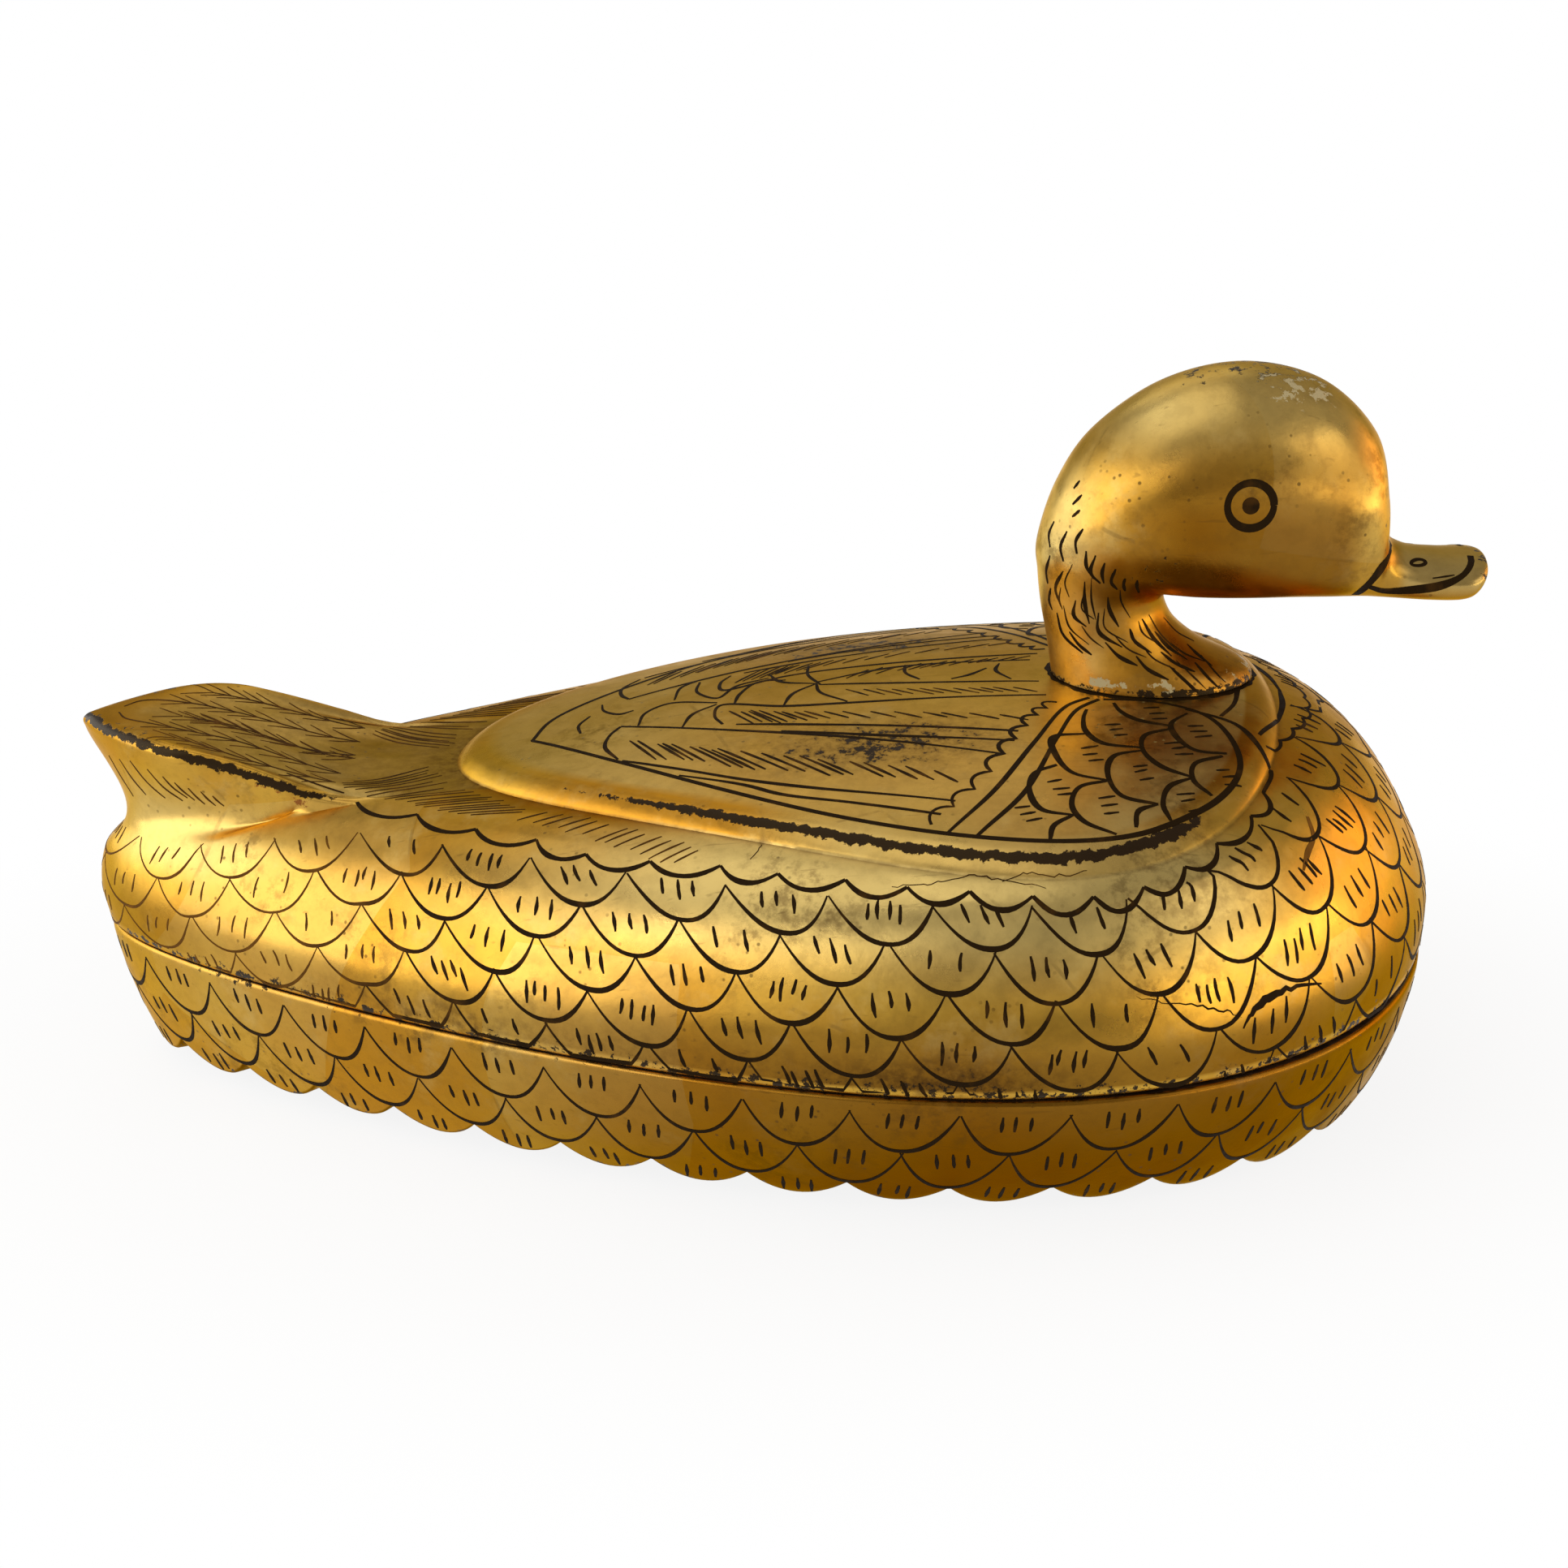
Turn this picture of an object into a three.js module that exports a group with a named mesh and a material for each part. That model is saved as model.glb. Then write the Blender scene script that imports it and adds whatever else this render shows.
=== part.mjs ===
// A gilt lacquered wooden box in the shape of a resting duck.
// The lower body is a bowl with a scalloped skirt on a recessed bottom board, the upper body is a lift-off
// lid with raised wings and an upturned tail, and the head is carved by itself and pegged to the lid.
// Millimetres, +X towards the bill, +Y towards the duck's left, +Z up,
// origin under the middle of the bottom board.
import * as THREE from 'three';

// Outline of the body at the rim, where the lid meets the base
const BODY_HALF_LENGTH = 150;
const BODY_HALF_WIDTH = 84.8;
const BODY_TAPER = 0.46; // how much fuller the breast is than the rump
const RIM_HEIGHT = 34.3; // rim above the table
const LID_GAP = 0.3; // lid edge above the rim at the tail
const LID_WARP = 1.8; // the old lid stands this much higher at the breast

// Back and wings
const BACK_RISE = 56.6; // highest point of the back above the rim
const BACK_FALL = 15.4; // drop of the back from its peak to the tip of the wings
const SIDE_FALL = 11.5; // drop of the back from the middle to the side of the wings
const WING_FRONT_SETBACK = 38; // front of the wings behind the breast end of the rim
const WING_REAR_SETBACK = 87; // tip of the wings ahead of the tail end of the rim
const WING_SIDE_SETBACK = 19.8; // side of the wings inside the rim
const WING_TAPER = 0.5;
const WING_FULLNESS = 0.2; // squares the ends of the wings
const WING_RELIEF = 3.6; // wings stand proud of the flank by this
const WING_BEVEL = 3.2; // width of the rounded step round the wings
const FLANK_TURN = THREE.MathUtils.degToRad(82); // how far the flank has rolled over where it meets the wings
const FLANK_BULGE = 1.2; // flank outside the rim at its fullest
const RUMP_FULLNESS = 1.2; // how much plumper than a quarter round the flank is beside the tail

// Tail
const TAIL_SPAN = THREE.MathUtils.degToRad(30); // share of the outline on each side of the tail's middle
const TAIL_OVERHANG = 1; // tail's tip past the tail end of the rim
const TAIL_HALF_WIDTH = 22.6;
const TAIL_SHOULDER = 0.53; // share of its length with straight sides, before it narrows to the tip
const TAIL_LIFT = 13.2; // tail's edge above the place where it leaves the flank
const TAIL_RAMP = 52; // length over which the tail rises
const TAIL_CROWN = 1; // rounding of its upper side
const TAIL_EDGE = 4; // thickness of its edge
const WAIST_HOLLOW = 1.2; // the rump is drawn in by this under the tail's tip

// Shells
const LID_WALL = 6.2;
const LID_CROWN = 10; // wood over the hollow of the lid
const LID_SOCKET_SPARE = 2; // straight wall inside the lid reaches above the lip by this
const SKIRT_CLEARANCE = 3.3; // tips of the scallops above the table
const BASE_INSET = 13; // the bowl draws in by this much at the sides
const BASE_END_INSET = 8; // and by this much at the breast and the rump
const SCALLOPS = 34;
const SCALLOP_DEPTH = 5.5;
const SKIRT = 3.6; // thickness of the scalloped skirt
const UNDERSIDE_SPARE = 1.2; // underside of the bowl above the notches
const EDGE_ROUND = 1.2; // worn rounding of the lid and base edges

// Lip, bottom board and fits
const FIT = 0.3; // glue or seat clearance
const LIP_CLEARANCE = 0.8; // between the lip and the lid that drops over it
const LIP_THICKNESS = 3;
const LIP_SUNK = 12; // part of the lip inside the base
const LIP_STANDING = 8; // part of the lip that stands in the lid
const BOARD_INSET = 27; // bottom board inside the rim outline
const BOARD_LET_IN = 2; // board let up into the bowl by this
const BOARD_LEDGE = 4; // ledge of the base over the board
const LEDGE_THICKNESS = 3.2;

// Head, measured from the middle of the neck's foot on the back
const NECK_SETBACK = 23; // middle of the foot behind the front of the wings
const FOOT_HALF_LENGTH = 22;
const FOOT_HALF_WIDTH = 17;
const NECK_HALF_WIDTH = 13.2;
const NAPE_SETBACK = 25.6; // nape behind the foot's middle
const BROW_REACH = 48.8; // brow ahead of it
const HEAD_HALF_WIDTH = 22;
const HEAD_UNDERSIDE = 20.2; // underside of the head above the back
const HEAD_RISE = 67.7; // crown above the back
const BILL_LENGTH = 21.6;
const BILL_HALF_WIDTH = 12;
const BILL_THICKNESS = 9.4;
const BILL_DROP = 3; // underside of the bill below that of the head
const PEG_SETBACK = 10; // peg behind the middle of the foot, under the slim part of the neck
const PEG_RADIUS = 5;
const PEG_IN_NECK = 24;

// Facets
const FLANK_COLUMNS = 60; // round the breast and sides
const TAIL_COLUMNS = 24;
const SCALLOP_STEPS = 4; // columns to a scallop
const FLANK_ROWS = 18;
const HEAD_COLUMNS = 28;
const HEAD_ROWS = 40;
const PEG_SIDES = 20;

const TURN = 2 * Math.PI;
const { clamp, lerp, smoothstep } = THREE.MathUtils;

// Places that follow from the sizes
const WING_FRONT_X = BODY_HALF_LENGTH - WING_FRONT_SETBACK;
const WING_TIP_X = WING_REAR_SETBACK - BODY_HALF_LENGTH;
const WING_MIDDLE_X = (WING_FRONT_X + WING_TIP_X) / 2;
const WING_HALF_LENGTH = (WING_FRONT_X - WING_TIP_X) / 2;
const WING_HALF_WIDTH = BODY_HALF_WIDTH - WING_SIDE_SETBACK;
const NECK_X = WING_FRONT_X - NECK_SETBACK;
const PEG_X = NECK_X - PEG_SETBACK;
const BACK_PEAK_X = PEG_X;
const TAIL_TIP_X = -BODY_HALF_LENGTH - TAIL_OVERHANG;
const LID_SOCKET = LIP_STANDING + LID_SOCKET_SPARE;
const BASE_DEPTH = RIM_HEIGHT - SKIRT_CLEARANCE;
const UNDERSIDE_HEIGHT = SKIRT_CLEARANCE + SCALLOP_DEPTH + UNDERSIDE_SPARE;
const BOARD_THICKNESS = UNDERSIDE_HEIGHT + BOARD_LET_IN;

// Plan outlines: t runs round the body from the breast, and inset shrinks the outline.
function egg(t, middle, halfLength, halfWidth, taper, fullness = 0) {
  const cos = Math.cos(t);
  return {
    x: middle + halfLength * cos,
    y: halfWidth * Math.sin(t) * (1 + taper * cos + fullness * cos ** 2),
  };
}

function rim(t, inset = 0, endInset = inset) {
  return egg(t, 0, BODY_HALF_LENGTH - endInset, BODY_HALF_WIDTH - inset, BODY_TAPER);
}

function wing(t, inset = 0) {
  const halfLength = WING_HALF_LENGTH - inset;
  const halfWidth = WING_HALF_WIDTH - inset;
  return egg(t, WING_MIDDLE_X, halfLength, halfWidth, WING_TAPER, WING_FULLNESS);
}

function between(a, b, share) {
  return { x: lerp(a.x, b.x, share), y: lerp(a.y, b.y, share) };
}

function at(plan, z) {
  return new THREE.Vector3(plan.x, plan.y, z);
}

// Height of the back over a point of the plan: a dome that falls away from its peak.
const WING_FULL_WIDTH = WING_HALF_WIDTH * (1 + WING_TAPER / 5);
function backHeight(plan) {
  const along = (plan.x - BACK_PEAK_X) / (BACK_PEAK_X - WING_TIP_X);
  const across = plan.y / WING_FULL_WIDTH;
  return RIM_HEIGHT + BACK_RISE - BACK_FALL * along ** 2 - SIDE_FALL * across ** 2;
}

function lidEdgeHeight(t) {
  return RIM_HEIGHT + LID_GAP + LID_WARP * Math.max(0, Math.cos(t)) ** 3;
}

// Foot of the rounded step round the wings, where the flank ends.
function wingFoot(t) {
  return at(wing(t, -WING_BEVEL), backHeight(wing(t)) - WING_RELIEF);
}

// The flank rolls from upright at the rim to nearly level at the foot of the wings.
const FLANK_STEPS = [0, 0.17, 0.34, 0.505, 0.66, 0.8, 0.84, 0.89, 0.945, 1];
function flankPoint(t, share) {
  const turn = FLANK_TURN * share;
  const roll = (1 - Math.cos(turn)) / (1 - Math.cos(FLANK_TURN));
  const inward = roll ** (1 + RUMP_FULLNESS * Math.max(0, -Math.cos(t)) ** 6);
  const up = Math.sin(turn) / Math.sin(FLANK_TURN);
  const bulge = FLANK_BULGE * Math.sin(Math.PI * Math.min(1, 2 * up));
  const edge = lidEdgeHeight(t);
  const foot = wingFoot(t);
  return at(between(rim(t, -Math.max(0, bulge)), foot, inward), lerp(edge, foot.z, up));
}

// The tail stands on the rump from one of the flank's steps, its waist. Its edge leaves the flank at another
// step and climbs from there to the tip on the middle line.
const WAIST_STEP = 3;
const TAIL_STEP = 5;
const TAIL_START = flankPoint(Math.PI - TAIL_SPAN, FLANK_STEPS[TAIL_STEP]);

function tailHeight(x) {
  const climb = clamp((TAIL_START.x - x) / TAIL_RAMP, 0, 1);
  return TAIL_START.z + TAIL_LIFT * Math.sin((Math.PI / 2) * climb) ** 1.15;
}

function tailEdge(side, share) {
  const narrowing = Math.max(0, share - TAIL_SHOULDER) / (1 - TAIL_SHOULDER);
  const straight = lerp(TAIL_START.y, TAIL_HALF_WIDTH, smoothstep(share, 0, TAIL_SHOULDER));
  return {
    x: lerp(TAIL_START.x, TAIL_TIP_X, share),
    y: side * straight * (1 - narrowing ** 1.7) ** 0.9,
  };
}

// Points of a column from under the tail's edge, round it and over the tail to the foot of the wings.
function tailPoints(t, edge) {
  const tip = tailHeight(edge.x);
  const root = wingFoot(t);
  const over = (part) => {
    const plan = between(edge, root, part);
    return at(plan, lerp(tailHeight(plan.x), root.z, part ** 2) + TAIL_CROWN * (1 - part));
  };
  return [
    at(between(edge, root, 0.005), tip - TAIL_EDGE),
    at(edge, tip - TAIL_EDGE / 3),
    at(between(edge, root, 0.035), tip + TAIL_EDGE / 8),
    over(0.33),
    over(0.66),
  ];
}

// One column of the lid's outside, from its edge up to the foot of the wings.
function lidColumn(t) {
  const column = FLANK_STEPS.map((share) => flankPoint(t, share));
  const fromTail = Math.PI - (t % TURN);
  const share = 1 - Math.abs(fromTail) / TAIL_SPAN;
  if (share > 0) {
    const edge = tailEdge(Math.sign(fromTail) || 1, share);
    const weight = smoothstep(share, 0, 0.2);
    column[WAIST_STEP].x += WAIST_HOLLOW * share ** 2;
    tailPoints(t, edge).forEach((p, i) => column[WAIST_STEP + 1 + i].lerp(p, weight));
    column[TAIL_STEP] = at(edge, tailHeight(edge.x) - (weight * TAIL_EDGE) / 3);
  }
  return new THREE.CatmullRomCurve3(column, false, 'centripetal').getPoints(FLANK_ROWS);
}

// A closed solid from rings of points that run round the body. Each end is capped on its own middle point,
// or the last ring joins the first when the solid is a closed tube.
function ringSolid(rings, isTube = false) {
  const count = rings[0].length;
  const points = rings.flat();
  const faces = [];
  const quad = (a, b, i) => {
    const j = (i + 1) % count;
    faces.push(a * count + i, a * count + j, b * count + j, a * count + i, b * count + j, b * count + i);
  };
  for (let r = 0; r + 1 < rings.length; r++) for (let i = 0; i < count; i++) quad(r, r + 1, i);
  if (isTube) {
    for (let i = 0; i < count; i++) quad(rings.length - 1, 0, i);
  } else {
    const cap = (r, turned) => {
      const middle = new THREE.Vector3();
      rings[r].forEach((p) => middle.addScaledVector(p, 1 / count));
      points.push(middle);
      for (let i = 0; i < count; i++) {
        const pair = [r * count + i, r * count + ((i + 1) % count)];
        faces.push(points.length - 1, ...(turned ? pair.reverse() : pair));
      }
    };
    cap(0, true);
    cap(rings.length - 1, false);
  }
  const solid = new THREE.BufferGeometry().setFromPoints(points);
  solid.setIndex(facingOut(points, faces));
  solid.computeVertexNormals();
  return solid;
}

// Turns every face round when the solid comes out inside out.
function facingOut(points, faces) {
  const cross = new THREE.Vector3();
  let volume = 0;
  for (let i = 0; i < faces.length; i += 3) {
    const [a, b, c] = [points[faces[i]], points[faces[i + 1]], points[faces[i + 2]]];
    volume += a.dot(cross.crossVectors(b, c));
  }
  return volume > 0 ? faces : faces.toReversed();
}

// Columns of the body, from one side of the tail round the breast to the other, and closer together at the tail.
const spread = (from, to, count) => Array.from({ length: count }, (_, i) => lerp(from, to, i / count));
const BODY_ANGLES = [
  ...spread(Math.PI + TAIL_SPAN, 3 * Math.PI - TAIL_SPAN, FLANK_COLUMNS),
  ...spread(3 * Math.PI - TAIL_SPAN, 3 * Math.PI + TAIL_SPAN, TAIL_COLUMNS),
];
const bodyRing = (place) => BODY_ANGLES.map(place);

// Lid: outside up to the peg hole, down the hole, and back along the inside to the edge.
const HOLE_RADIUS = PEG_RADIUS + FIT;
const pegHole = (t) => ({ x: PEG_X + HOLE_RADIUS * Math.cos(t), y: HOLE_RADIUS * Math.sin(t) });

function ceilingHeight(plan) {
  return Math.max(backHeight(plan) - LID_CROWN, RIM_HEIGHT + LID_SOCKET + WING_RELIEF);
}

function insidePoint(t, share) {
  const plan = between(pegHole(t), rim(t, LID_WALL), share);
  const foot = RIM_HEIGHT + LID_SOCKET;
  const roll = (1 - share ** 2.5) ** 0.4;
  return at(plan, lerp(foot, ceilingHeight(plan), roll));
}

function lidShell() {
  const columns = BODY_ANGLES.map(lidColumn);
  const rings = [bodyRing((t) => at(rim(t, EDGE_ROUND), lidEdgeHeight(t)))];
  for (let row = 0; row <= FLANK_ROWS; row++) rings.push(columns.map((column) => column[row]));
  rings[1] = bodyRing((t) => at(rim(t, -FLANK_BULGE / 4), lidEdgeHeight(t) + EDGE_ROUND));
  const shoulder = (inset, sunk) =>
    bodyRing((t) => at(wing(t, inset), backHeight(wing(t, inset)) - sunk * WING_RELIEF));
  rings.push(shoulder(-WING_BEVEL / 2, 0.45), shoulder(0, 0.1), shoulder(WING_BEVEL, 0));
  for (const share of [0.2, 0.45, 0.7, 0.88, 1]) {
    rings.push(
      bodyRing((t) => {
        const plan = between(wing(t, WING_BEVEL), pegHole(t), share);
        return at(plan, backHeight(plan));
      }),
    );
  }
  for (const share of [0, 0.25, 0.5, 0.7, 0.84, 0.93, 0.98, 1]) {
    rings.push(bodyRing((t) => insidePoint(t, share)));
  }
  rings.push(bodyRing((t) => at(rim(t, LID_WALL), lidEdgeHeight(t))));
  return ringSolid(rings, true);
}

// Base: its columns are spread evenly along the bowl's lower edge, so that the scallops are all alike.
const SCALLOP_COLUMNS = SCALLOPS * SCALLOP_STEPS;
const SCALLOP_ANGLES = evenAngles(SCALLOP_COLUMNS, (t) => bowl(t, BASE_DEPTH));

function evenAngles(count, outline) {
  const fine = 2880;
  const walked = [0];
  for (let i = 1; i <= fine; i++) {
    const a = outline((TURN * (i - 1)) / fine);
    const b = outline((TURN * i) / fine);
    walked.push(walked[i - 1] + Math.hypot(b.x - a.x, b.y - a.y));
  }
  const angles = [];
  for (let k = 0, i = 0; k < count; k++) {
    const wanted = (walked[fine] * k) / count;
    while (walked[i + 1] < wanted) i++;
    const part = (wanted - walked[i]) / (walked[i + 1] - walked[i]);
    angles.push((TURN * (i + part)) / fine);
  }
  return angles;
}

// How far a column's lower edge is cut up: 0 at a scallop's tip and 1 at the notch between two.
function notch(column) {
  const phase = (column % SCALLOP_STEPS) / SCALLOP_STEPS;
  return Math.abs(2 * phase - 1) ** 2;
}

// The bowl's outline at a depth below the rim, moved inwards by a thickness.
function bowl(t, depth, thickness = 0) {
  const share = depth / BASE_DEPTH;
  const drawn = 0.38 * share + 0.62 * share ** 2;
  return rim(t, BASE_INSET * drawn + thickness, BASE_END_INSET * drawn + thickness);
}

const LIP_INSET = LID_WALL + LIP_CLEARANCE;
const LIP_SEAT_INSET = LIP_INSET - FIT;
const LIP_SEAT_HEIGHT = RIM_HEIGHT - LIP_SUNK;

function baseBowl() {
  const ring = (place) => SCALLOP_ANGLES.map((t, column) => place(t, column));
  const level = (inset, z) => ring((t) => at(rim(t, inset), z));
  const wallDepth = (column) => BASE_DEPTH - SCALLOP_DEPTH * notch(column);
  const outside = (share) =>
    ring((t, column) => {
      const depth = lerp(EDGE_ROUND, wallDepth(column), share);
      return at(bowl(t, depth), RIM_HEIGHT - depth);
    });
  const skirtFoot = ring((t, column) => {
    const depth = wallDepth(column);
    return at(bowl(t, depth, SKIRT), RIM_HEIGHT - depth + FIT);
  });
  const boardSeat = BOARD_THICKNESS + FIT;
  const floorInset = BOARD_INSET + BOARD_LEDGE;
  return ringSolid(
    [
      level(EDGE_ROUND, RIM_HEIGHT),
      ...[0, 0.25, 0.5, 0.75, 1].map(outside),
      skirtFoot,
      ring((t) => at(bowl(t, BASE_DEPTH, 2 * SKIRT), UNDERSIDE_HEIGHT)),
      level(BOARD_INSET - FIT, UNDERSIDE_HEIGHT),
      level(BOARD_INSET - FIT, boardSeat),
      level(floorInset, boardSeat),
      level(floorInset, boardSeat + LEDGE_THICKNESS),
      level(LIP_SEAT_INSET + LIP_THICKNESS + 4 * FIT, LIP_SEAT_HEIGHT - FIT),
      level(LIP_SEAT_INSET, LIP_SEAT_HEIGHT - FIT),
      level(LIP_SEAT_INSET, RIM_HEIGHT),
    ],
    true,
  );
}

function locatingLip() {
  const level = (inset, z) => bodyRing((t) => at(rim(t, inset), z));
  const top = RIM_HEIGHT + LIP_STANDING;
  const inside = LIP_INSET + LIP_THICKNESS;
  return ringSolid(
    [
      level(LIP_INSET, LIP_SEAT_HEIGHT),
      level(LIP_INSET, top - EDGE_ROUND),
      level(LIP_INSET + EDGE_ROUND, top),
      level(inside, top),
      level(inside, LIP_SEAT_HEIGHT),
    ],
    true,
  );
}

function bottomBoard() {
  const level = (inset, z) => bodyRing((t) => at(rim(t, inset), z));
  return ringSolid([
    level(BOARD_INSET + EDGE_ROUND, 0),
    level(BOARD_INSET, EDGE_ROUND),
    level(BOARD_INSET, BOARD_THICKNESS),
  ]);
}

// Head: sections across the middle plane, each from an inner point (throat, underside of the head and bill)
// to an outer point (nape, crown, brow and top of the bill).
const headX = (share) => lerp(-NAPE_SETBACK, BROW_REACH, share);
const neckZ = (share) => HEAD_UNDERSIDE * share;
const headZ = (share) => lerp(HEAD_UNDERSIDE, HEAD_RISE, share);
const billX = (share) => BROW_REACH + BILL_LENGTH * share;
const billZ = (share) => HEAD_UNDERSIDE - BILL_DROP + BILL_THICKNESS * share;

// Each row: inner x and z, outer x and z, half width, squareness near the inner point.
const HEAD_SECTIONS = [
  [FOOT_HALF_LENGTH, 0, -FOOT_HALF_LENGTH, 0, FOOT_HALF_WIDTH, 2],
  [0.89 * FOOT_HALF_LENGTH, neckZ(0.12), -1.02 * FOOT_HALF_LENGTH, neckZ(0.17), 0.95 * FOOT_HALF_WIDTH, 2],
  [headX(0.49), neckZ(0.34), headX(0.03), neckZ(0.46), 1.06 * NECK_HALF_WIDTH, 2],
  [headX(0.41), neckZ(0.58), headX(0.013), neckZ(0.8), NECK_HALF_WIDTH, 2],
  [headX(0.376), neckZ(0.8), headX(0.003), headZ(0.06), 1.03 * NECK_HALF_WIDTH, 2],
  [headX(0.374), neckZ(0.93), headX(0), headZ(0.21), lerp(NECK_HALF_WIDTH, HEAD_HALF_WIDTH, 0.25), 2.2],
  [headX(0.4), neckZ(0.94), headX(0.054), headZ(0.475), 0.84 * HEAD_HALF_WIDTH, 2.6],
  [headX(0.452), neckZ(0.935), headX(0.157), headZ(0.714), 0.93 * HEAD_HALF_WIDTH, 3],
  [headX(0.519), neckZ(0.93), headX(0.352), headZ(0.924), 0.985 * HEAD_HALF_WIDTH, 3.2],
  [headX(0.613), neckZ(0.925), headX(0.578), headZ(1), HEAD_HALF_WIDTH, 3.2],
  [headX(0.734), neckZ(0.92), headX(0.796), headZ(0.92), 0.92 * HEAD_HALF_WIDTH, 3.2],
  [headX(0.841), neckZ(0.91), headX(0.949), headZ(0.7), 0.79 * HEAD_HALF_WIDTH, 3.2],
  [headX(0.922), billZ(0.1), headX(0.992), headZ(0.448), 0.63 * HEAD_HALF_WIDTH, 3.2],
  [headX(0.976), billZ(0.06), headX(1), billZ(1.53), 0.92 * BILL_HALF_WIDTH, 3.2],
  [billX(0.1), billZ(0.02), billX(0.21), billZ(1.13), 0.86 * BILL_HALF_WIDTH, 3],
  [billX(0.4), billZ(0), billX(0.565), billZ(1), 0.96 * BILL_HALF_WIDTH, 3],
  [billX(0.66), billZ(0.02), billX(0.84), billZ(0.98), BILL_HALF_WIDTH, 2.8],
  [billX(0.815), billZ(0.19), billX(0.963), billZ(0.915), 0.82 * BILL_HALF_WIDTH, 2.4],
  [billX(0.926), billZ(0.45), billX(1), billZ(0.77), 0.47 * BILL_HALF_WIDTH, 2],
];

// Rows of the head, eased from one section to the next.
function headRows() {
  const tracks = HEAD_SECTIONS[0].map((_, k) => {
    const points = HEAD_SECTIONS.map((row, i) => new THREE.Vector2(i, row[k]));
    return new THREE.SplineCurve(points);
  });
  const shares = Array.from({ length: HEAD_ROWS + 1 }, (_, row) => row / HEAD_ROWS);
  return shares.map((share) => tracks.map((track) => track.getPoint(share).y));
}

function sectionPoint([innerX, innerZ, outerX, outerZ, halfWidth, squareness], turn) {
  const cos = Math.cos(turn);
  const sin = Math.sin(turn);
  const power = 2 / (cos > 0 ? squareness : 2);
  const along = 0.5 - 0.5 * Math.sign(cos) * Math.abs(cos) ** power;
  const aside = halfWidth * Math.sign(sin) * Math.abs(sin) ** power;
  return new THREE.Vector3(lerp(innerX, outerX, along), aside, lerp(innerZ, outerZ, along));
}

const NECK_HEIGHT = backHeight({ x: NECK_X, y: 0 });
const HEAD_ANGLES = Array.from({ length: HEAD_COLUMNS }, (_, i) => (TURN * i) / HEAD_COLUMNS);

function headAndNeck() {
  const place = (p) => new THREE.Vector3(NECK_X + p.x, p.y, NECK_HEIGHT + FIT + p.z);
  const sections = headRows().map((row) => HEAD_ANGLES.map((turn) => place(sectionPoint(row, turn))));
  // The foot follows the dome of the back, with a socket for the peg up its middle.
  const foot = sections[0];
  const seat = (share) =>
    foot.map((p, i) => {
      const hole = pegHole(HEAD_ANGLES[i]);
      const plan = between(p, hole, share);
      return at(plan, backHeight(plan) + FIT);
    });
  const socketTop = NECK_HEIGHT + PEG_IN_NECK + 2 * FIT;
  const socket = HEAD_ANGLES.map((turn) => at(pegHole(turn), socketTop));
  return ringSolid([socket, seat(1), seat(0.66), seat(0.33), seat(0), ...sections.slice(1)]);
}

function neckPeg() {
  const bottom = ceilingHeight({ x: PEG_X, y: 0 });
  const length = NECK_HEIGHT + PEG_IN_NECK - bottom;
  const peg = new THREE.CylinderGeometry(PEG_RADIUS, PEG_RADIUS, length, PEG_SIDES);
  return { peg, middle: bottom + length / 2 };
}

// Finishes
const gilt = new THREE.MeshStandardMaterial({ color: 0xc8922c, roughness: 0.34, metalness: 1 });
const blackLacquer = new THREE.MeshStandardMaterial({ color: 0x1a130d, roughness: 0.3, metalness: 0 });
const bareWood = new THREE.MeshStandardMaterial({ color: 0x9a6f45, roughness: 0.7, metalness: 0 });

function piece(name, geometry, material) {
  const mesh = new THREE.Mesh(geometry, material);
  mesh.name = name;
  return mesh;
}

const base = new THREE.Group();
base.add(piece('base_bowl', baseBowl(), gilt));
base.add(piece('bottom_board', bottomBoard(), blackLacquer));
base.add(piece('locating_lip', locatingLip(), blackLacquer));

const lid = new THREE.Group();
lid.add(piece('lid_shell', lidShell(), gilt));
lid.add(piece('head_and_neck', headAndNeck(), gilt));
const { peg, middle } = neckPeg();
const neckPegPiece = piece('neck_peg', peg, bareWood);
neckPegPiece.rotation.x = Math.PI / 2;
neckPegPiece.position.set(PEG_X, 0, middle);
lid.add(neckPegPiece);

const duckBox = new THREE.Group();
duckBox.add(base, lid);

export default duckBox;
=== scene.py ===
import math

import bpy
import numpy as np
from mathutils import Matrix, Vector
from mathutils.bvhtree import BVHTree


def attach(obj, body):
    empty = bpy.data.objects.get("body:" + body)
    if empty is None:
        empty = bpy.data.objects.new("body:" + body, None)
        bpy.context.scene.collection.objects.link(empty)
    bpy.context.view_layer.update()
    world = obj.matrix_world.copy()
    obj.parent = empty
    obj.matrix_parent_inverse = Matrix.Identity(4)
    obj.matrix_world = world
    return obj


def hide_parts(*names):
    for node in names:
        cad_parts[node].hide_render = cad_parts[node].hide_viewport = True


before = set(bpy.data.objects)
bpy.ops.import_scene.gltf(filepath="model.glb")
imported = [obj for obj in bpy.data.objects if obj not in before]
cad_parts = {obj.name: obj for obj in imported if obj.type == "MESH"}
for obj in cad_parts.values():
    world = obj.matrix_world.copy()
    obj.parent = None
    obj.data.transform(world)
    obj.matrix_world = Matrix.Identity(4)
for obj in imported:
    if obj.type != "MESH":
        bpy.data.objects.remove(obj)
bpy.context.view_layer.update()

rng = np.random.default_rng(11)

# The gilt lacquered duck box. Sizes are millimetres, as in the part's source, and meshes are made in metres.
MM = 0.001

# Body at the rim, where the lid meets the base
BODY_HALF_LENGTH = 150.0
BODY_HALF_WIDTH = 84.8
BODY_TAPER = 0.46
RIM_HEIGHT = 34.3
LID_GAP = 0.3
LID_WARP = 1.8

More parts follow.
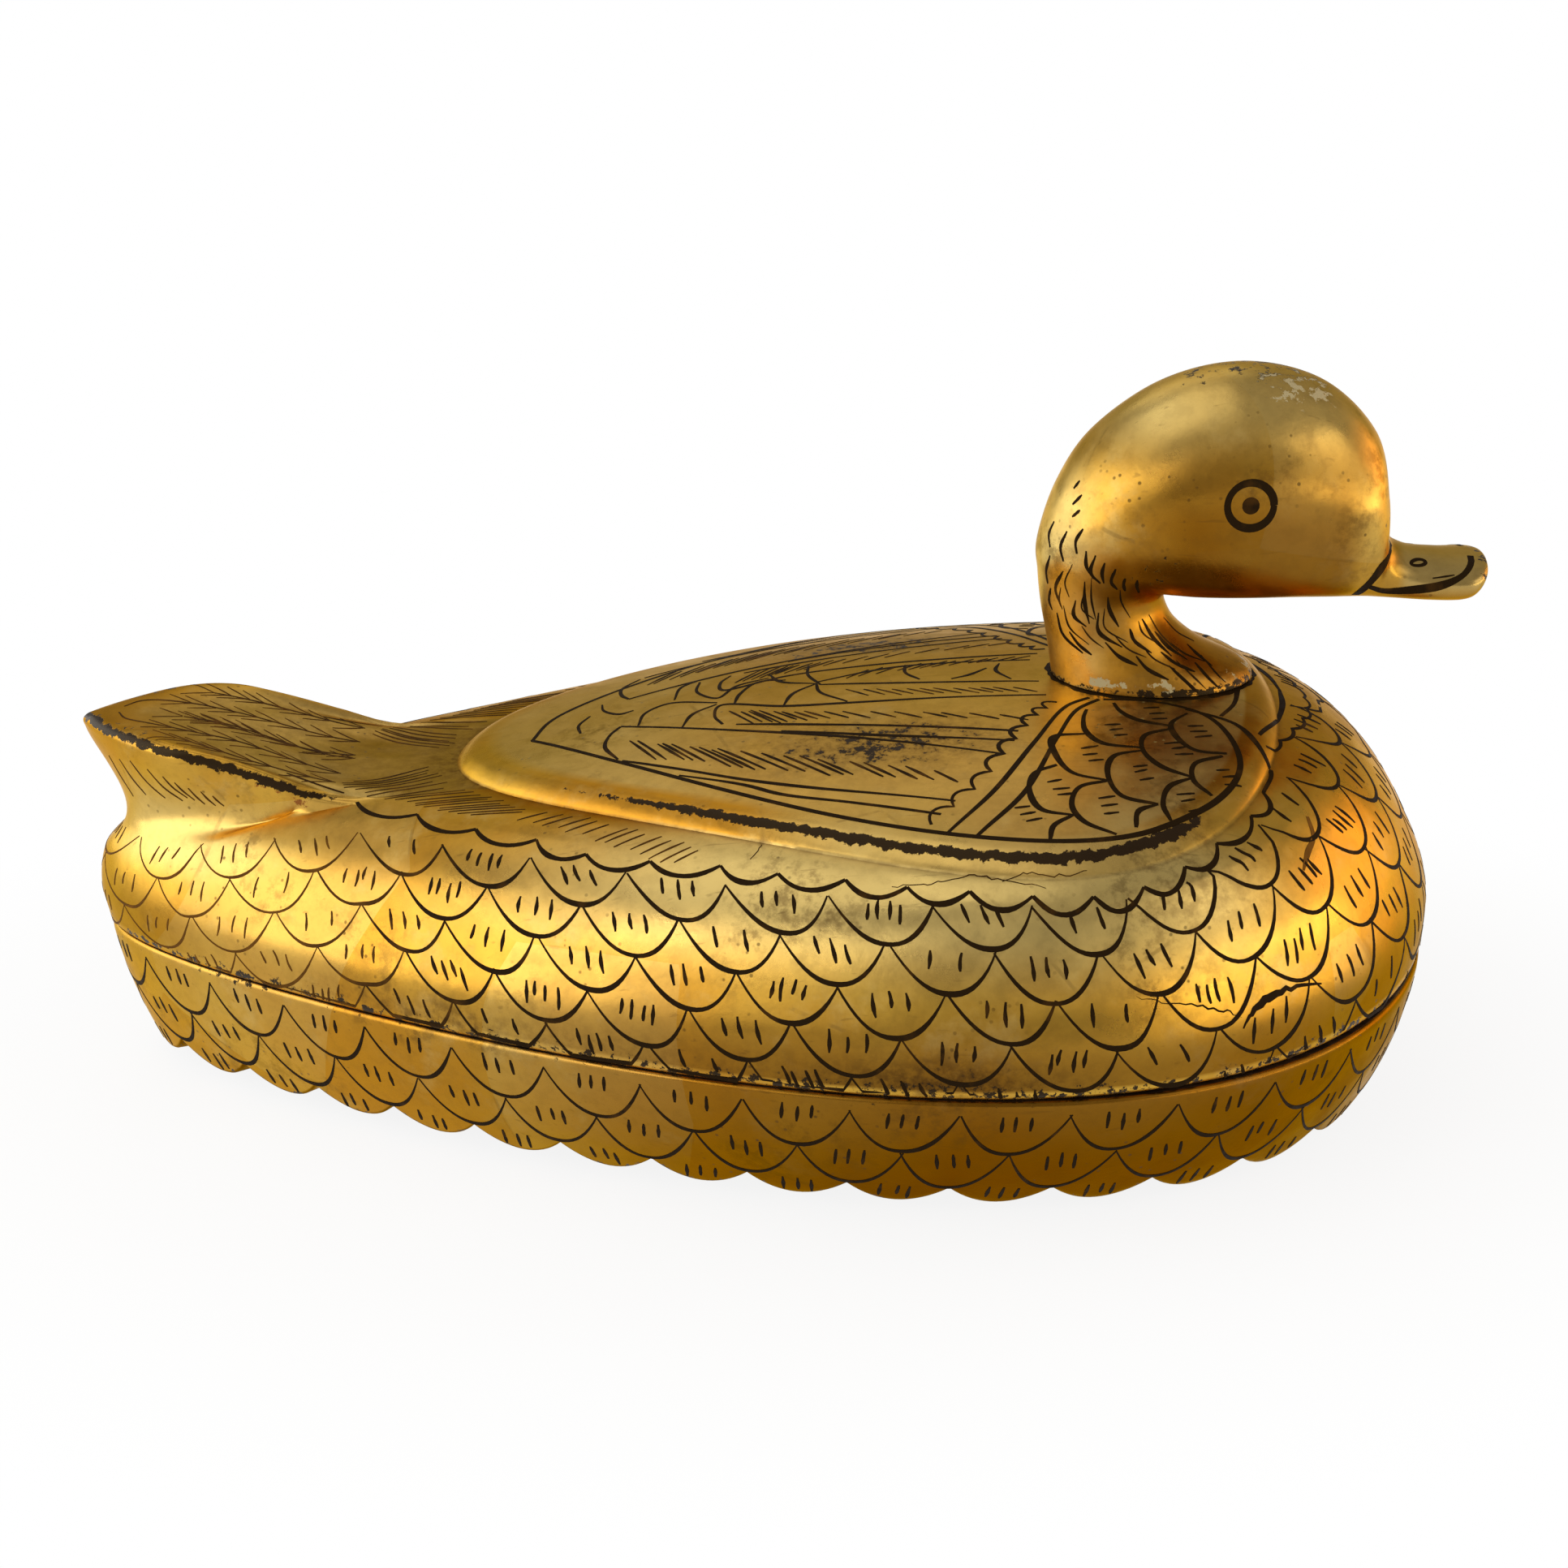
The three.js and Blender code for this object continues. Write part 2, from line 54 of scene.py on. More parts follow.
# Back and wings
BACK_RISE = 56.6
BACK_FALL = 15.4
SIDE_FALL = 11.5
WING_FRONT_X = 112.0
WING_TIP_X = -63.0
WING_HALF_WIDTH = 65.0
WING_TAPER = 0.5
WING_FULLNESS = 0.2
WING_RELIEF = 3.6
WING_BEVEL = 3.2
FLANK_TURN = math.radians(82)
FLANK_BULGE = 1.2
RUMP_FULLNESS = 1.2
FLANK_STEPS = (0, 0.17, 0.34, 0.505, 0.66, 0.8, 0.84, 0.89, 0.945, 1)

# Tail
TAIL_SPAN = math.radians(30)
TAIL_STEP = 5
TAIL_TIP_X = -151.0
TAIL_HALF_WIDTH = 22.6
TAIL_SHOULDER = 0.53
TAIL_LIFT = 13.2
TAIL_RAMP = 52.0
TAIL_CROWN = 1.0
TAIL_EDGE = 4.0
WAIST_STEP = 3
WAIST_HOLLOW = 1.2

# Shells, lip and board
LID_WALL = 6.2
LID_CROWN = 10.0
LID_SOCKET = 10.0
BASE_DEPTH = 31.0
BASE_INSET = 13.0
BASE_END_INSET = 8.0
SCALLOPS = 34
SCALLOP_DEPTH = 5.5
SKIRT = 3.6
UNDERSIDE_HEIGHT = 10.0
EDGE_ROUND = 1.2
FIT = 0.3
LIP_INSET = 7.0
LIP_THICKNESS = 3.0
LIP_FOOT = 22.3
LIP_TOP = 42.3
BOARD_INSET = 27.0
BOARD_THICKNESS = 12.0
BOARD_LEDGE = 4.0
LEDGE_THICKNESS = 3.2

# Head, from the middle of the neck's foot
NECK_X = 89.0
FOOT_HALF_LENGTH = 22.0
FOOT_HALF_WIDTH = 17.0
NECK_HALF_WIDTH = 13.2
NAPE_SETBACK = 25.6
BROW_REACH = 48.8
HEAD_HALF_WIDTH = 22.0
HEAD_UNDERSIDE = 20.2
HEAD_RISE = 67.7
BILL_LENGTH = 21.6
BILL_HALF_WIDTH = 12.0
BILL_THICKNESS = 9.4
BILL_DROP = 3.0
PEG_X = 79.0
PEG_HOLE_RADIUS = 5.3
PEG_IN_NECK = 24.0

# Fineness of the meshes
LID_COLUMNS = 480
ROUND_ROWS = 5
FLANK_ROWS = 120
STEP_ROWS = 16
BACK_ROWS = 32
INSIDE_ROWS = 28
SCALLOP_STEPS = 16
WALL_ROWS = 29
RING_COLUMNS = 240
HEAD_COLUMNS = 128
HEAD_ROWS = 200
SEAT_ROWS = 8

TURN = 2 * math.pi
QUARTER_TURN = np.linspace(0, math.pi / 2, ROUND_ROWS + 1)
WING_MIDDLE_X = (WING_FRONT_X + WING_TIP_X) / 2
WING_HALF_LENGTH = (WING_FRONT_X - WING_TIP_X) / 2
WING_FULL_WIDTH = WING_HALF_WIDTH * (1 + WING_TAPER / 5)


# Outlines and surfaces
def lerp(a, b, share):
    return a + (b - a) * share


def smoothstep(x, low, high):
    s = np.clip((x - low) / (high - low), 0, 1)
    return s * s * (3 - 2 * s)


def between(x, start, full, fading, end):
    """Rises from 0 to 1 and falls back to 0."""
    return smoothstep(x, start, full) * (1 - smoothstep(x, fading, end))


def bell(x, middle, width):
    return np.exp(-(((x - middle) / width) ** 2))


def egg(t, middle, half_length, half_width, taper=0.0, fullness=0.0):
    c = np.cos(t)
    width = half_width * np.sin(t) * (1 + taper * c + fullness * c * c)
    return np.stack([middle + half_length * c, width], -1)


def rim(t, inset=0.0, end_inset=None):
    end_inset = inset if end_inset is None else end_inset
    return egg(t, 0.0, BODY_HALF_LENGTH - end_inset, BODY_HALF_WIDTH - inset, BODY_TAPER)


def wing(t, inset=0.0):
    half_length = WING_HALF_LENGTH - inset
    half_width = WING_HALF_WIDTH - inset
    return egg(t, WING_MIDDLE_X, half_length, half_width, WING_TAPER, WING_FULLNESS)


def at(plan, z):
    z = np.broadcast_to(z, plan.shape[:-1])
    return np.concatenate([plan, z[..., None]], -1)


def back_height(plan):
    along = (plan[..., 0] - PEG_X) / (PEG_X - WING_TIP_X)
    across = plan[..., 1] / WING_FULL_WIDTH
    return RIM_HEIGHT + BACK_RISE - BACK_FALL * along**2 - SIDE_FALL * across**2


def lid_edge_height(t):
    return RIM_HEIGHT + LID_GAP + LID_WARP * np.maximum(0, np.cos(t)) ** 3


def wing_foot(t):
    return at(wing(t, -WING_BEVEL), back_height(wing(t)) - WING_RELIEF)


def flank_point(t, share):
    """The flank rolls from upright at the rim to nearly level at the foot of the wings."""
    turn = FLANK_TURN * share
    roll = (1 - math.cos(turn)) / (1 - math.cos(FLANK_TURN))
    inward = (roll ** (1 + RUMP_FULLNESS * np.maximum(0, -np.cos(t)) ** 6))[..., None]
    up = math.sin(turn) / math.sin(FLANK_TURN)
    bulge = max(0.0, FLANK_BULGE * math.sin(math.pi * min(1.0, 2 * up)))
    foot = wing_foot(t)
    plan = lerp(rim(t, -bulge), foot[..., :2], inward)
    return at(plan, lerp(lid_edge_height(t), foot[..., 2], up))


TAIL_START = flank_point(np.array(math.pi - TAIL_SPAN), FLANK_STEPS[TAIL_STEP])


def tail_height(x):
    climb = np.clip((TAIL_START[0] - x) / TAIL_RAMP, 0, 1)
    return TAIL_START[2] + TAIL_LIFT * np.sin(math.pi / 2 * climb) ** 1.15


def tail_edge(side, share):
    """Plan of the tail's edge, from the flank where it starts (0) to its tip on the middle line (1)."""
    narrowing = np.maximum(0, share - TAIL_SHOULDER) / (1 - TAIL_SHOULDER)
    straight = lerp(TAIL_START[1], TAIL_HALF_WIDTH, smoothstep(share, 0, TAIL_SHOULDER))
    x = lerp(TAIL_START[0], TAIL_TIP_X, share)
    return np.stack([x, side * straight * (1 - narrowing**1.7) ** 0.9], -1)


def tail_points(t, edge):
    """Points of a column from under the tail's edge, round it and over the tail to the foot of the wings."""
    tip = tail_height(edge[..., 0])
    root = wing_foot(t)

    def over(part):
        plan = lerp(edge, root[..., :2], part)
        return at(plan, lerp(tail_height(plan[..., 0]), root[..., 2], part**2) + TAIL_CROWN * (1 - part))

    return [
        at(lerp(edge, root[..., :2], 0.005), tip - TAIL_EDGE),
        at(edge, tip - TAIL_EDGE / 3),
        at(lerp(edge, root[..., :2], 0.035), tip + TAIL_EDGE / 8),
        over(0.33),
        over(0.66),
    ]


def lid_controls(t):
    """Points that each column of the lid's outside passes through, from its edge to the foot of the wings."""
    t = np.mod(t, TURN)
    columns = np.stack([flank_point(t, share) for share in FLANK_STEPS])
    from_tail = math.pi - t
    share = np.clip(1 - np.abs(from_tail) / TAIL_SPAN, 0, 1)
    edge = tail_edge(np.where(from_tail < 0, -1.0, 1.0), share)
    weight = smoothstep(share, 0, 0.2)
    columns[WAIST_STEP, ..., 0] += WAIST_HOLLOW * share**2
    tail = slice(WAIST_STEP + 1, len(FLANK_STEPS) - 1)
    columns[tail] = lerp(columns[tail], np.stack(tail_points(t, edge)), weight[..., None])
    on_edge = at(edge, tail_height(edge[..., 0]) - weight * TAIL_EDGE / 3)
    columns[TAIL_STEP] = np.where((share > 0)[..., None], on_edge, columns[TAIL_STEP])
    return columns


def cubic(p1, p2, m1, m2, u):
    """A curve from one place to the next that leaves and arrives along the given slopes."""
    return p1 + m1 * u + (3 * (p2 - p1) - 2 * m1 - m2) * u**2 + (2 * (p1 - p2) + m1 + m2) * u**3


def eased(points, v):
    """A centripetal curve through the points of each column, at its share v from 0 to 1."""
    spans = len(points) - 1
    first = 2 * points[:1] - points[1:2]
    last = 2 * points[-1:] - points[-2:-1]
    points = np.concatenate([first, points, last])
    span = np.clip(np.floor(v * spans).astype(int), 0, spans - 1)
    u = (v * spans - span)[..., None]
    p0, p1, p2, p3 = (np.take_along_axis(points, (span + k)[None, ..., None], 0)[0] for k in range(4))
    d0, d1, d2 = (
        np.maximum(np.linalg.norm(b - a, axis=-1, keepdims=True), 1e-8) ** 0.5
        for a, b in ((p0, p1), (p1, p2), (p2, p3))
    )
    m1 = d1 * ((p1 - p0) / d0 - (p2 - p0) / (d0 + d1) + (p2 - p1) / d1)
    m2 = d1 * ((p2 - p1) / d1 - (p3 - p1) / (d1 + d2) + (p3 - p2) / d2)
    return cubic(p1, p2, m1, m2, u)


def lid_flank(t, v):
    """Outside of the lid from its edge (v = 0) to the foot of the wings (v = 1)."""
    t, v = np.broadcast_arrays(np.asarray(t, float), np.asarray(v, float))
    return eased(lid_controls(t), v)


def wing_step(t, share):
    """The rounded step round the wings, from its foot (0) to the top (1)."""
    inset = lerp(-WING_BEVEL, WING_BEVEL, share)
    plan = wing(t, inset)
    foot_drop = WING_RELIEF * (1 - share) ** 2.9
    base = lerp(back_height(wing(t)), back_height(plan), smoothstep(share, 0, 0.5))
    return at(plan, base - foot_drop)


def peg_hole(t):
    return egg(t, PEG_X, PEG_HOLE_RADIUS, PEG_HOLE_RADIUS)


def lid_inside(t, share):
    plan = lerp(peg_hole(t), rim(t, LID_WALL), share)
    foot = RIM_HEIGHT + LID_SOCKET
    ceiling = np.maximum(back_height(plan) - LID_CROWN, foot + WING_RELIEF)
    return at(plan, lerp(foot, ceiling, (1 - share**2.5) ** 0.4))


def bowl(t, depth, thickness=0.0):
    """Outline of the base at a depth below the rim, moved inwards by a thickness."""
    share = depth / BASE_DEPTH
    drawn = 0.38 * share + 0.62 * share**2
    return rim(t, BASE_INSET * drawn + thickness, BASE_END_INSET * drawn + thickness)


def even_angles(count, outline):
    """Angles that are evenly spread along an outline that goes once round the body."""
    t = np.linspace(0, TURN, 2881)
    steps = np.linalg.norm(np.diff(outline(t), axis=0), axis=-1)
    walked = np.concatenate([[0], np.cumsum(steps)])
    return np.interp(np.arange(count) / count * walked[-1], walked, t)


# Mesh making
def make_piece(name, body, points, faces, materials):
    mesh = bpy.data.meshes.new(name)
    mesh.from_pydata((np.asarray(points) * MM).tolist(), [], faces)
    for material in materials:
        mesh.materials.append(material)
    mesh.shade_smooth()
    mesh.set_sharp_from_angle(angle=math.radians(44))
    piece = bpy.data.objects.new(name, mesh)
    bpy.context.scene.collection.objects.link(piece)
    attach(piece, body)
    return piece


def ring_faces(rings, is_tube):
    """Faces of a solid made of rings of points: the ends are capped, or joined when it is a tube."""
    count, size = len(rings), len(rings[0])
    faces = []
    last = count if is_tube else count - 1
    for r in range(last):
        a, b = r * size, (r + 1) % count * size
        for i in range(size):
            j = (i + 1) % size
            faces.append((a + i, a + j, b + j, b + i))
    if not is_tube:
        faces.append(tuple(reversed(range(size))))
        faces.append(tuple(range((count - 1) * size, count * size)))
    return faces


def facing_out(points, faces):
    corners = np.array([points[list(f[:3])] for f in faces])
    volume = np.einsum("ij,ij->i", corners[:, 0], np.cross(corners[:, 1], corners[:, 2])).sum()
    return faces if volume > 0 else [tuple(reversed(f)) for f in faces]


def ring_piece(name, body, rings, is_tube, materials):
    points = np.concatenate(rings)
    faces = facing_out(points, ring_faces(rings, is_tube))
    return make_piece(name, body, points, faces, materials)


def paint(piece, **layers):
    """Numbers at each point of a mesh, which a material reads by their names."""
    for name, values in layers.items():
        layer = piece.data.attributes.new(name, "FLOAT", "POINT")
        layer.data.foreach_set("value", np.asarray(values, np.float32).ravel())


def darken(piece, is_dark):
    """Gives the faces that are marked with 1 the second material."""
    piece.data.polygons.foreach_set("material_index", is_dark.ravel())


def surface_of(piece):
    mesh = piece.data
    points = [v.co.copy() for v in mesh.vertices]
    return BVHTree.FromPolygons(points, [tuple(p.vertices) for p in mesh.polygons])


# Materials
class Finish:
    """A material as it is put together: its nodes, its shader and the object's own coordinates."""

    def __init__(self, name, roughness, metallic=0.0):
        self.material = bpy.data.materials.new(name)
        self.material.use_nodes = True
        self.tree = self.material.node_tree
        self.shader = self.tree.nodes["Principled BSDF"]
        self.where = self.add("ShaderNodeTexCoord").outputs["Object"]
        self.set("Roughness", roughness)
        self.set("Metallic", metallic)

    def feed(self, socket, value):
        if isinstance(value, bpy.types.NodeSocket):
            self.tree.links.new(value, socket)
        else:
            socket.default_value = value

    def set(self, name, value):
        self.feed(self.shader.inputs[name], value)

    def add(self, kind, inputs=(), **settings):
        node = self.tree.nodes.new(kind)
        for key, value in settings.items():
            setattr(node, key, value)
        for key, value in dict(inputs).items():
            self.feed(node.inputs[key], value)
        return node

    def math(self, operation, a, b, clamp=False):
        return self.add("ShaderNodeMath", {0: a, 1: b}, operation=operation, use_clamp=clamp).outputs[0]

    def mix(self, share, a, b):
        return self.add("ShaderNodeMix", {0: share, 6: a, 7: b}, data_type="RGBA").outputs[2]

    def remap(self, value, low, high, to_low=0.0, to_high=1.0):
        inputs = {0: value, 1: low, 2: high, 3: to_low, 4: to_high}
        return self.add("ShaderNodeMapRange", inputs, interpolation_type="SMOOTHSTEP").outputs[0]

    def stretched(self, scale):
        return self.add("ShaderNodeMapping", {"Vector": self.where, "Scale": scale}).outputs[0]

    def noise(self, scale, detail=3.0, rough=0.55):
        """Noise of one scale, or of a scale for each axis where it is drawn out."""
        where = self.where
        if isinstance(scale, tuple):
            where, scale = self.stretched(scale), 1.0
        inputs = {"Vector": where, "Scale": scale, "Detail": detail, "Roughness": rough}
        return self.add("ShaderNodeTexNoise", inputs).outputs["Fac"]

    def painted(self, name):
        """The number that a mesh carries under this name."""
        return self.add("ShaderNodeAttribute", attribute_name=name).outputs["Fac"]

    def bump(self, height, strength, distance):
        inputs = {"Height": height, "Strength": strength, "Distance": distance}
        self.set("Normal", self.add("ShaderNodeBump", inputs).outputs[0])


def linear(red, green, blue):
    """A colour as it is seen, from 0 to 255, as the shader's linear light."""
    channels = (c / 255 for c in (red, green, blue))
    values = [c / 12.92 if c <= 0.04045 else ((c + 0.055) / 1.055) ** 2.4 for c in channels]
    return (*values, 1.0)


GOLD = linear(198, 156, 58)
DEEP_GOLD = linear(182, 128, 32)
# Pale gold is the leaf's lighter tone and also the colour of painted highlights.
PALE_GOLD = linear(208, 180, 108)
# Shaded gold is the colour of painted shade and painted dark reflections.
SHADED_GOLD = linear(98, 52, 1)
GOLD_EDGE_TINT = (1.0, 0.72, 0.3, 1.0)
FILLER = linear(168, 154, 118)
LACQUER = linear(34, 23, 14)
BOLE = linear(120, 52, 22)
# Grime colour: real stains and scratches, and also painted shade.
GRIME_AND_SHADE = linear(86, 58, 22)
INK = linear(34, 23, 10)
DRY_INK = linear(110, 72, 24)


def gold_leaf():
    """Burnished leaf over dark lacquer: uneven tone, laps between leaves, specks, dirt, rubbed places,
    painted shade and painted highlights.
    """
    leaf = Finish("gold_leaf", 0.34, 1.0)
    leaf.set("Coat Roughness", 0.32)
    leaf.set("Specular IOR Level", 0.15)
    leaf.set("Specular Tint", GOLD_EDGE_TINT)
    blotches = leaf.noise(70.0, 5.0, 0.65)
    colour = leaf.mix(leaf.remap(leaf.noise(16.0, 4.0), 0.35, 0.68), DEEP_GOLD, GOLD)
    colour = leaf.mix(leaf.remap(blotches, 0.52, 0.78, 0.0, 0.55), colour, PALE_GOLD)
    # Each leaf has its own tone, and handling has left dull stains and fine scratches.
    sheets = {"Vector": leaf.where, "Scale": 17.0, "Randomness": 0.8}
    tone = leaf.add("ShaderNodeTexVoronoi", sheets).outputs["Color"]
    colour = leaf.mix(leaf.remap(tone, 0.55, 0.9, 0.0, 0.3), colour, PALE_GOLD)
    colour = leaf.mix(leaf.remap(tone, 0.15, 0.45, 0.3, 0.0), colour, DEEP_GOLD)
    # Painted highlights and painted shade from the mesh: the gold is made paler where highlights and bright
    # reflections fall, and darker where shade and dark reflections fall.
    colour = leaf.mix(leaf.painted("pale"), colour, PALE_GOLD)
    deep = leaf.painted("deep")
    colour = leaf.mix(deep, colour, SHADED_GOLD)
    stains = leaf.remap(leaf.remap(leaf.noise(21.0, 4.0, 0.6), 0.5, 0.68), 0.0, 1.0, 0.13, 0.62)
    mottle = leaf.remap(leaf.noise(260.0, 5.0, 0.7), 0.42, 0.66)
    colour = leaf.mix(leaf.math("MULTIPLY", stains, mottle), colour, GRIME_AND_SHADE)
    scratches = leaf.noise((38.0, 900.0, 700.0), 2.0)
    colour = leaf.mix(leaf.remap(scratches, 0.66, 0.76, 0.0, 0.28), colour, GRIME_AND_SHADE)
    # Where leaves overlap, the lap shows as a thin broken line.
    laps = leaf.add("ShaderNodeTexVoronoi", sheets, feature="DISTANCE_TO_EDGE").outputs["Distance"]
    lap = leaf.math("MULTIPLY", leaf.remap(laps, 0.003, 0.009, 1.0, 0.0), leaf.remap(blotches, 0.52, 0.64))
    colour = leaf.mix(leaf.math("MULTIPLY", lap, 0.3), colour, GRIME_AND_SHADE)
    # Fine specks and pores where the leaf missed
    cells = leaf.add("ShaderNodeTexVoronoi", {"Vector": leaf.where, "Scale": 330.0}).outputs["Distance"]
    patchy = leaf.remap(leaf.noise(40.0), 0.46, 0.64)
    specks = leaf.math("MULTIPLY", leaf.remap(cells, 0.08, 0.17, 1.0, 0.0), patchy)
    # Rubbed and filled places, and the red ground, are painted on the mesh and broken up here.
    ragged = leaf.remap(leaf.noise(380.0, 6.0, 0.7), 0.3, 0.7)
    frayed = leaf.math("MULTIPLY", ragged, 0.9)
    rubbed, filled, bole = (
        leaf.math("ADD", leaf.painted(name), frayed) for name in ("rubbed", "filler", "bole")
    )
    rubbed, filled = (leaf.remap(places, 0.98, 1.1) for places in (rubbed, filled))
    bare = leaf.math("MAXIMUM", rubbed, leaf.math("MULTIPLY", specks, 0.6))
    colour = leaf.mix(leaf.remap(bole, 0.95, 1.2, 0.0, 0.8), colour, BOLE)
    # The grime layer from the mesh is partly real dirt and partly painted shade in creases and on dark-lit
    # tops.
    grime = leaf.math("MULTIPLY", leaf.painted("grime"), leaf.remap(ragged, 0.0, 1.0, 0.4, 1.0))
    colour = leaf.mix(grime, colour, GRIME_AND_SHADE)
    colour = leaf.mix(bare, colour, LACQUER)
    leaf.set("Base Color", leaf.mix(filled, colour, FILLER))
    bare = leaf.math("MAXIMUM", bare, filled)
    leaf.set("Metallic", leaf.remap(bare, 0.0, 1.0, 1.0, 0.0))
    leaf.set("Coat Weight", leaf.remap(leaf.math("MAXIMUM", bare, deep), 0.0, 0.8, 0.16, 0.0))
    dull = leaf.math("MULTIPLY", grime, 0.2)
    leaf.set("Roughness", leaf.math("ADD", leaf.remap(blotches, 0.3, 0.75, 0.25, 0.44), dull))
    # Tool marks of the carver under the leaf, and the leaf's own crinkle
    carving = leaf.noise((30.0, 60.0, 60.0), 2.0)
    relief = leaf.math("ADD", carving, leaf.math("MULTIPLY", leaf.noise(900.0), 0.06))
    leaf.bump(leaf.math("SUBTRACT", relief, leaf.math("MULTIPLY", bare, 0.05)), 0.35, 0.0012)
    return leaf.material


def ink_lacquer():
    """Brush-drawn black lacquer, browner where the brush ran dry."""
    stroke = Finish("ink_lacquer", 0.5)
    stroke.set("Specular IOR Level", 0.02)
    dry = stroke.math("ADD", stroke.painted("thin"), stroke.remap(stroke.noise(160.0), 0.4, 0.75, -0.2, 0.2))
    stroke.set("Base Color", stroke.mix(dry, INK, DRY_INK))
    stroke.set("Roughness", stroke.remap(stroke.noise(500.0), 0.3, 0.7, 0.42, 0.6))
    return stroke.material


def dark_lacquer():
    """Brown-black lacquer of the inside, the lip and the board, with brush marks and dust."""
    coat = Finish("dark_lacquer", 0.35)
    marks = coat.noise((60.0, 420.0, 420.0), 4.0)
    dust = coat.noise(55.0, 5.0, 0.65)
    colour = coat.mix(coat.remap(marks, 0.35, 0.7), linear(30, 20, 14), linear(56, 37, 24))
    coat.set("Base Color", coat.mix(coat.remap(dust, 0.55, 0.8, 0.0, 0.4), colour, linear(96, 76, 54)))
    coat.set("Roughness", coat.remap(dust, 0.35, 0.75, 0.26, 0.5))
    coat.bump(marks, 0.25, 0.0004)
    return coat.material


def bare_wood():
    """Turned hardwood with its grain along the peg."""
    turned = Finish("bare_wood", 0.6)
    grain = turned.noise((420.0, 420.0, 22.0), 5.0, 0.6)
    pores = turned.noise((2400.0, 2400.0, 120.0), 2.0)
    colour = turned.mix(turned.remap(grain, 0.3, 0.7), linear(122, 82, 48), linear(176, 130, 84))
    turned.set("Base Color", turned.mix(turned.remap(pores, 0.6, 0.75, 0.0, 0.6), colour, linear(80, 50, 28)))
    turned.set("Roughness", turned.remap(grain, 0.3, 0.7, 0.5, 0.72))
    turned.bump(grain, 0.3, 0.0004)
    return turned.material


gold = gold_leaf()
ink = ink_lacquer()
dark = dark_lacquer()
wood = bare_wood()


# Lid: its rings run round the lower edge, up the flank and the wing step, over the back and down the inside.
EDGE_SHARE = 0.03
FLANK_END = ROUND_ROWS + FLANK_ROWS + 1
STEP_END = FLANK_END + STEP_ROWS
BACK_END = STEP_END + BACK_ROWS
LID_ANGLES = np.linspace(0, TURN, LID_COLUMNS, endpoint=False)
FLANK_PLACES = np.linspace(EDGE_SHARE, 1, FLANK_ROWS + 1)
STEP_PLACES = np.linspace(0, 1, STEP_ROWS + 1)[1:]


def make_lid():
    t = LID_ANGLES
    edge = at(rim(t, EDGE_ROUND), lid_edge_height(t))
    turned = lid_flank(t, EDGE_SHARE)
    rings = []
    for turn in QUARTER_TURN[:-1]:
        plan = lerp(edge[:, :2], turned[:, :2], math.sin(turn))
        rings.append(at(plan, lerp(edge[:, 2], turned[:, 2], 1 - math.cos(turn))))
    rings += [lid_flank(t, v) for v in FLANK_PLACES]
    rings += [wing_step(t, share) for share in STEP_PLACES]
    for share in np.linspace(0, 1, BACK_ROWS + 1)[1:]:
        plan = lerp(wing(t, WING_BEVEL), peg_hole(t), share)
        rings.append(at(plan, back_height(plan)))
    rings += [lid_inside(t, 1 - (1 - s) ** 2.2) for s in np.linspace(0, 1, INSIDE_ROWS)]
    rings.append(at(rim(t, LID_WALL), lid_edge_height(t)))
    piece = ring_piece("duck_lid", "lid", rings, True, [gold, dark])
    is_dark = np.zeros((len(rings), LID_COLUMNS), int)
    is_dark[BACK_END - 1 :] = 1
    darken(piece, is_dark)
    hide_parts("lid_shell")
    return piece, np.stack(rings)


lid, lid_rings = make_lid()


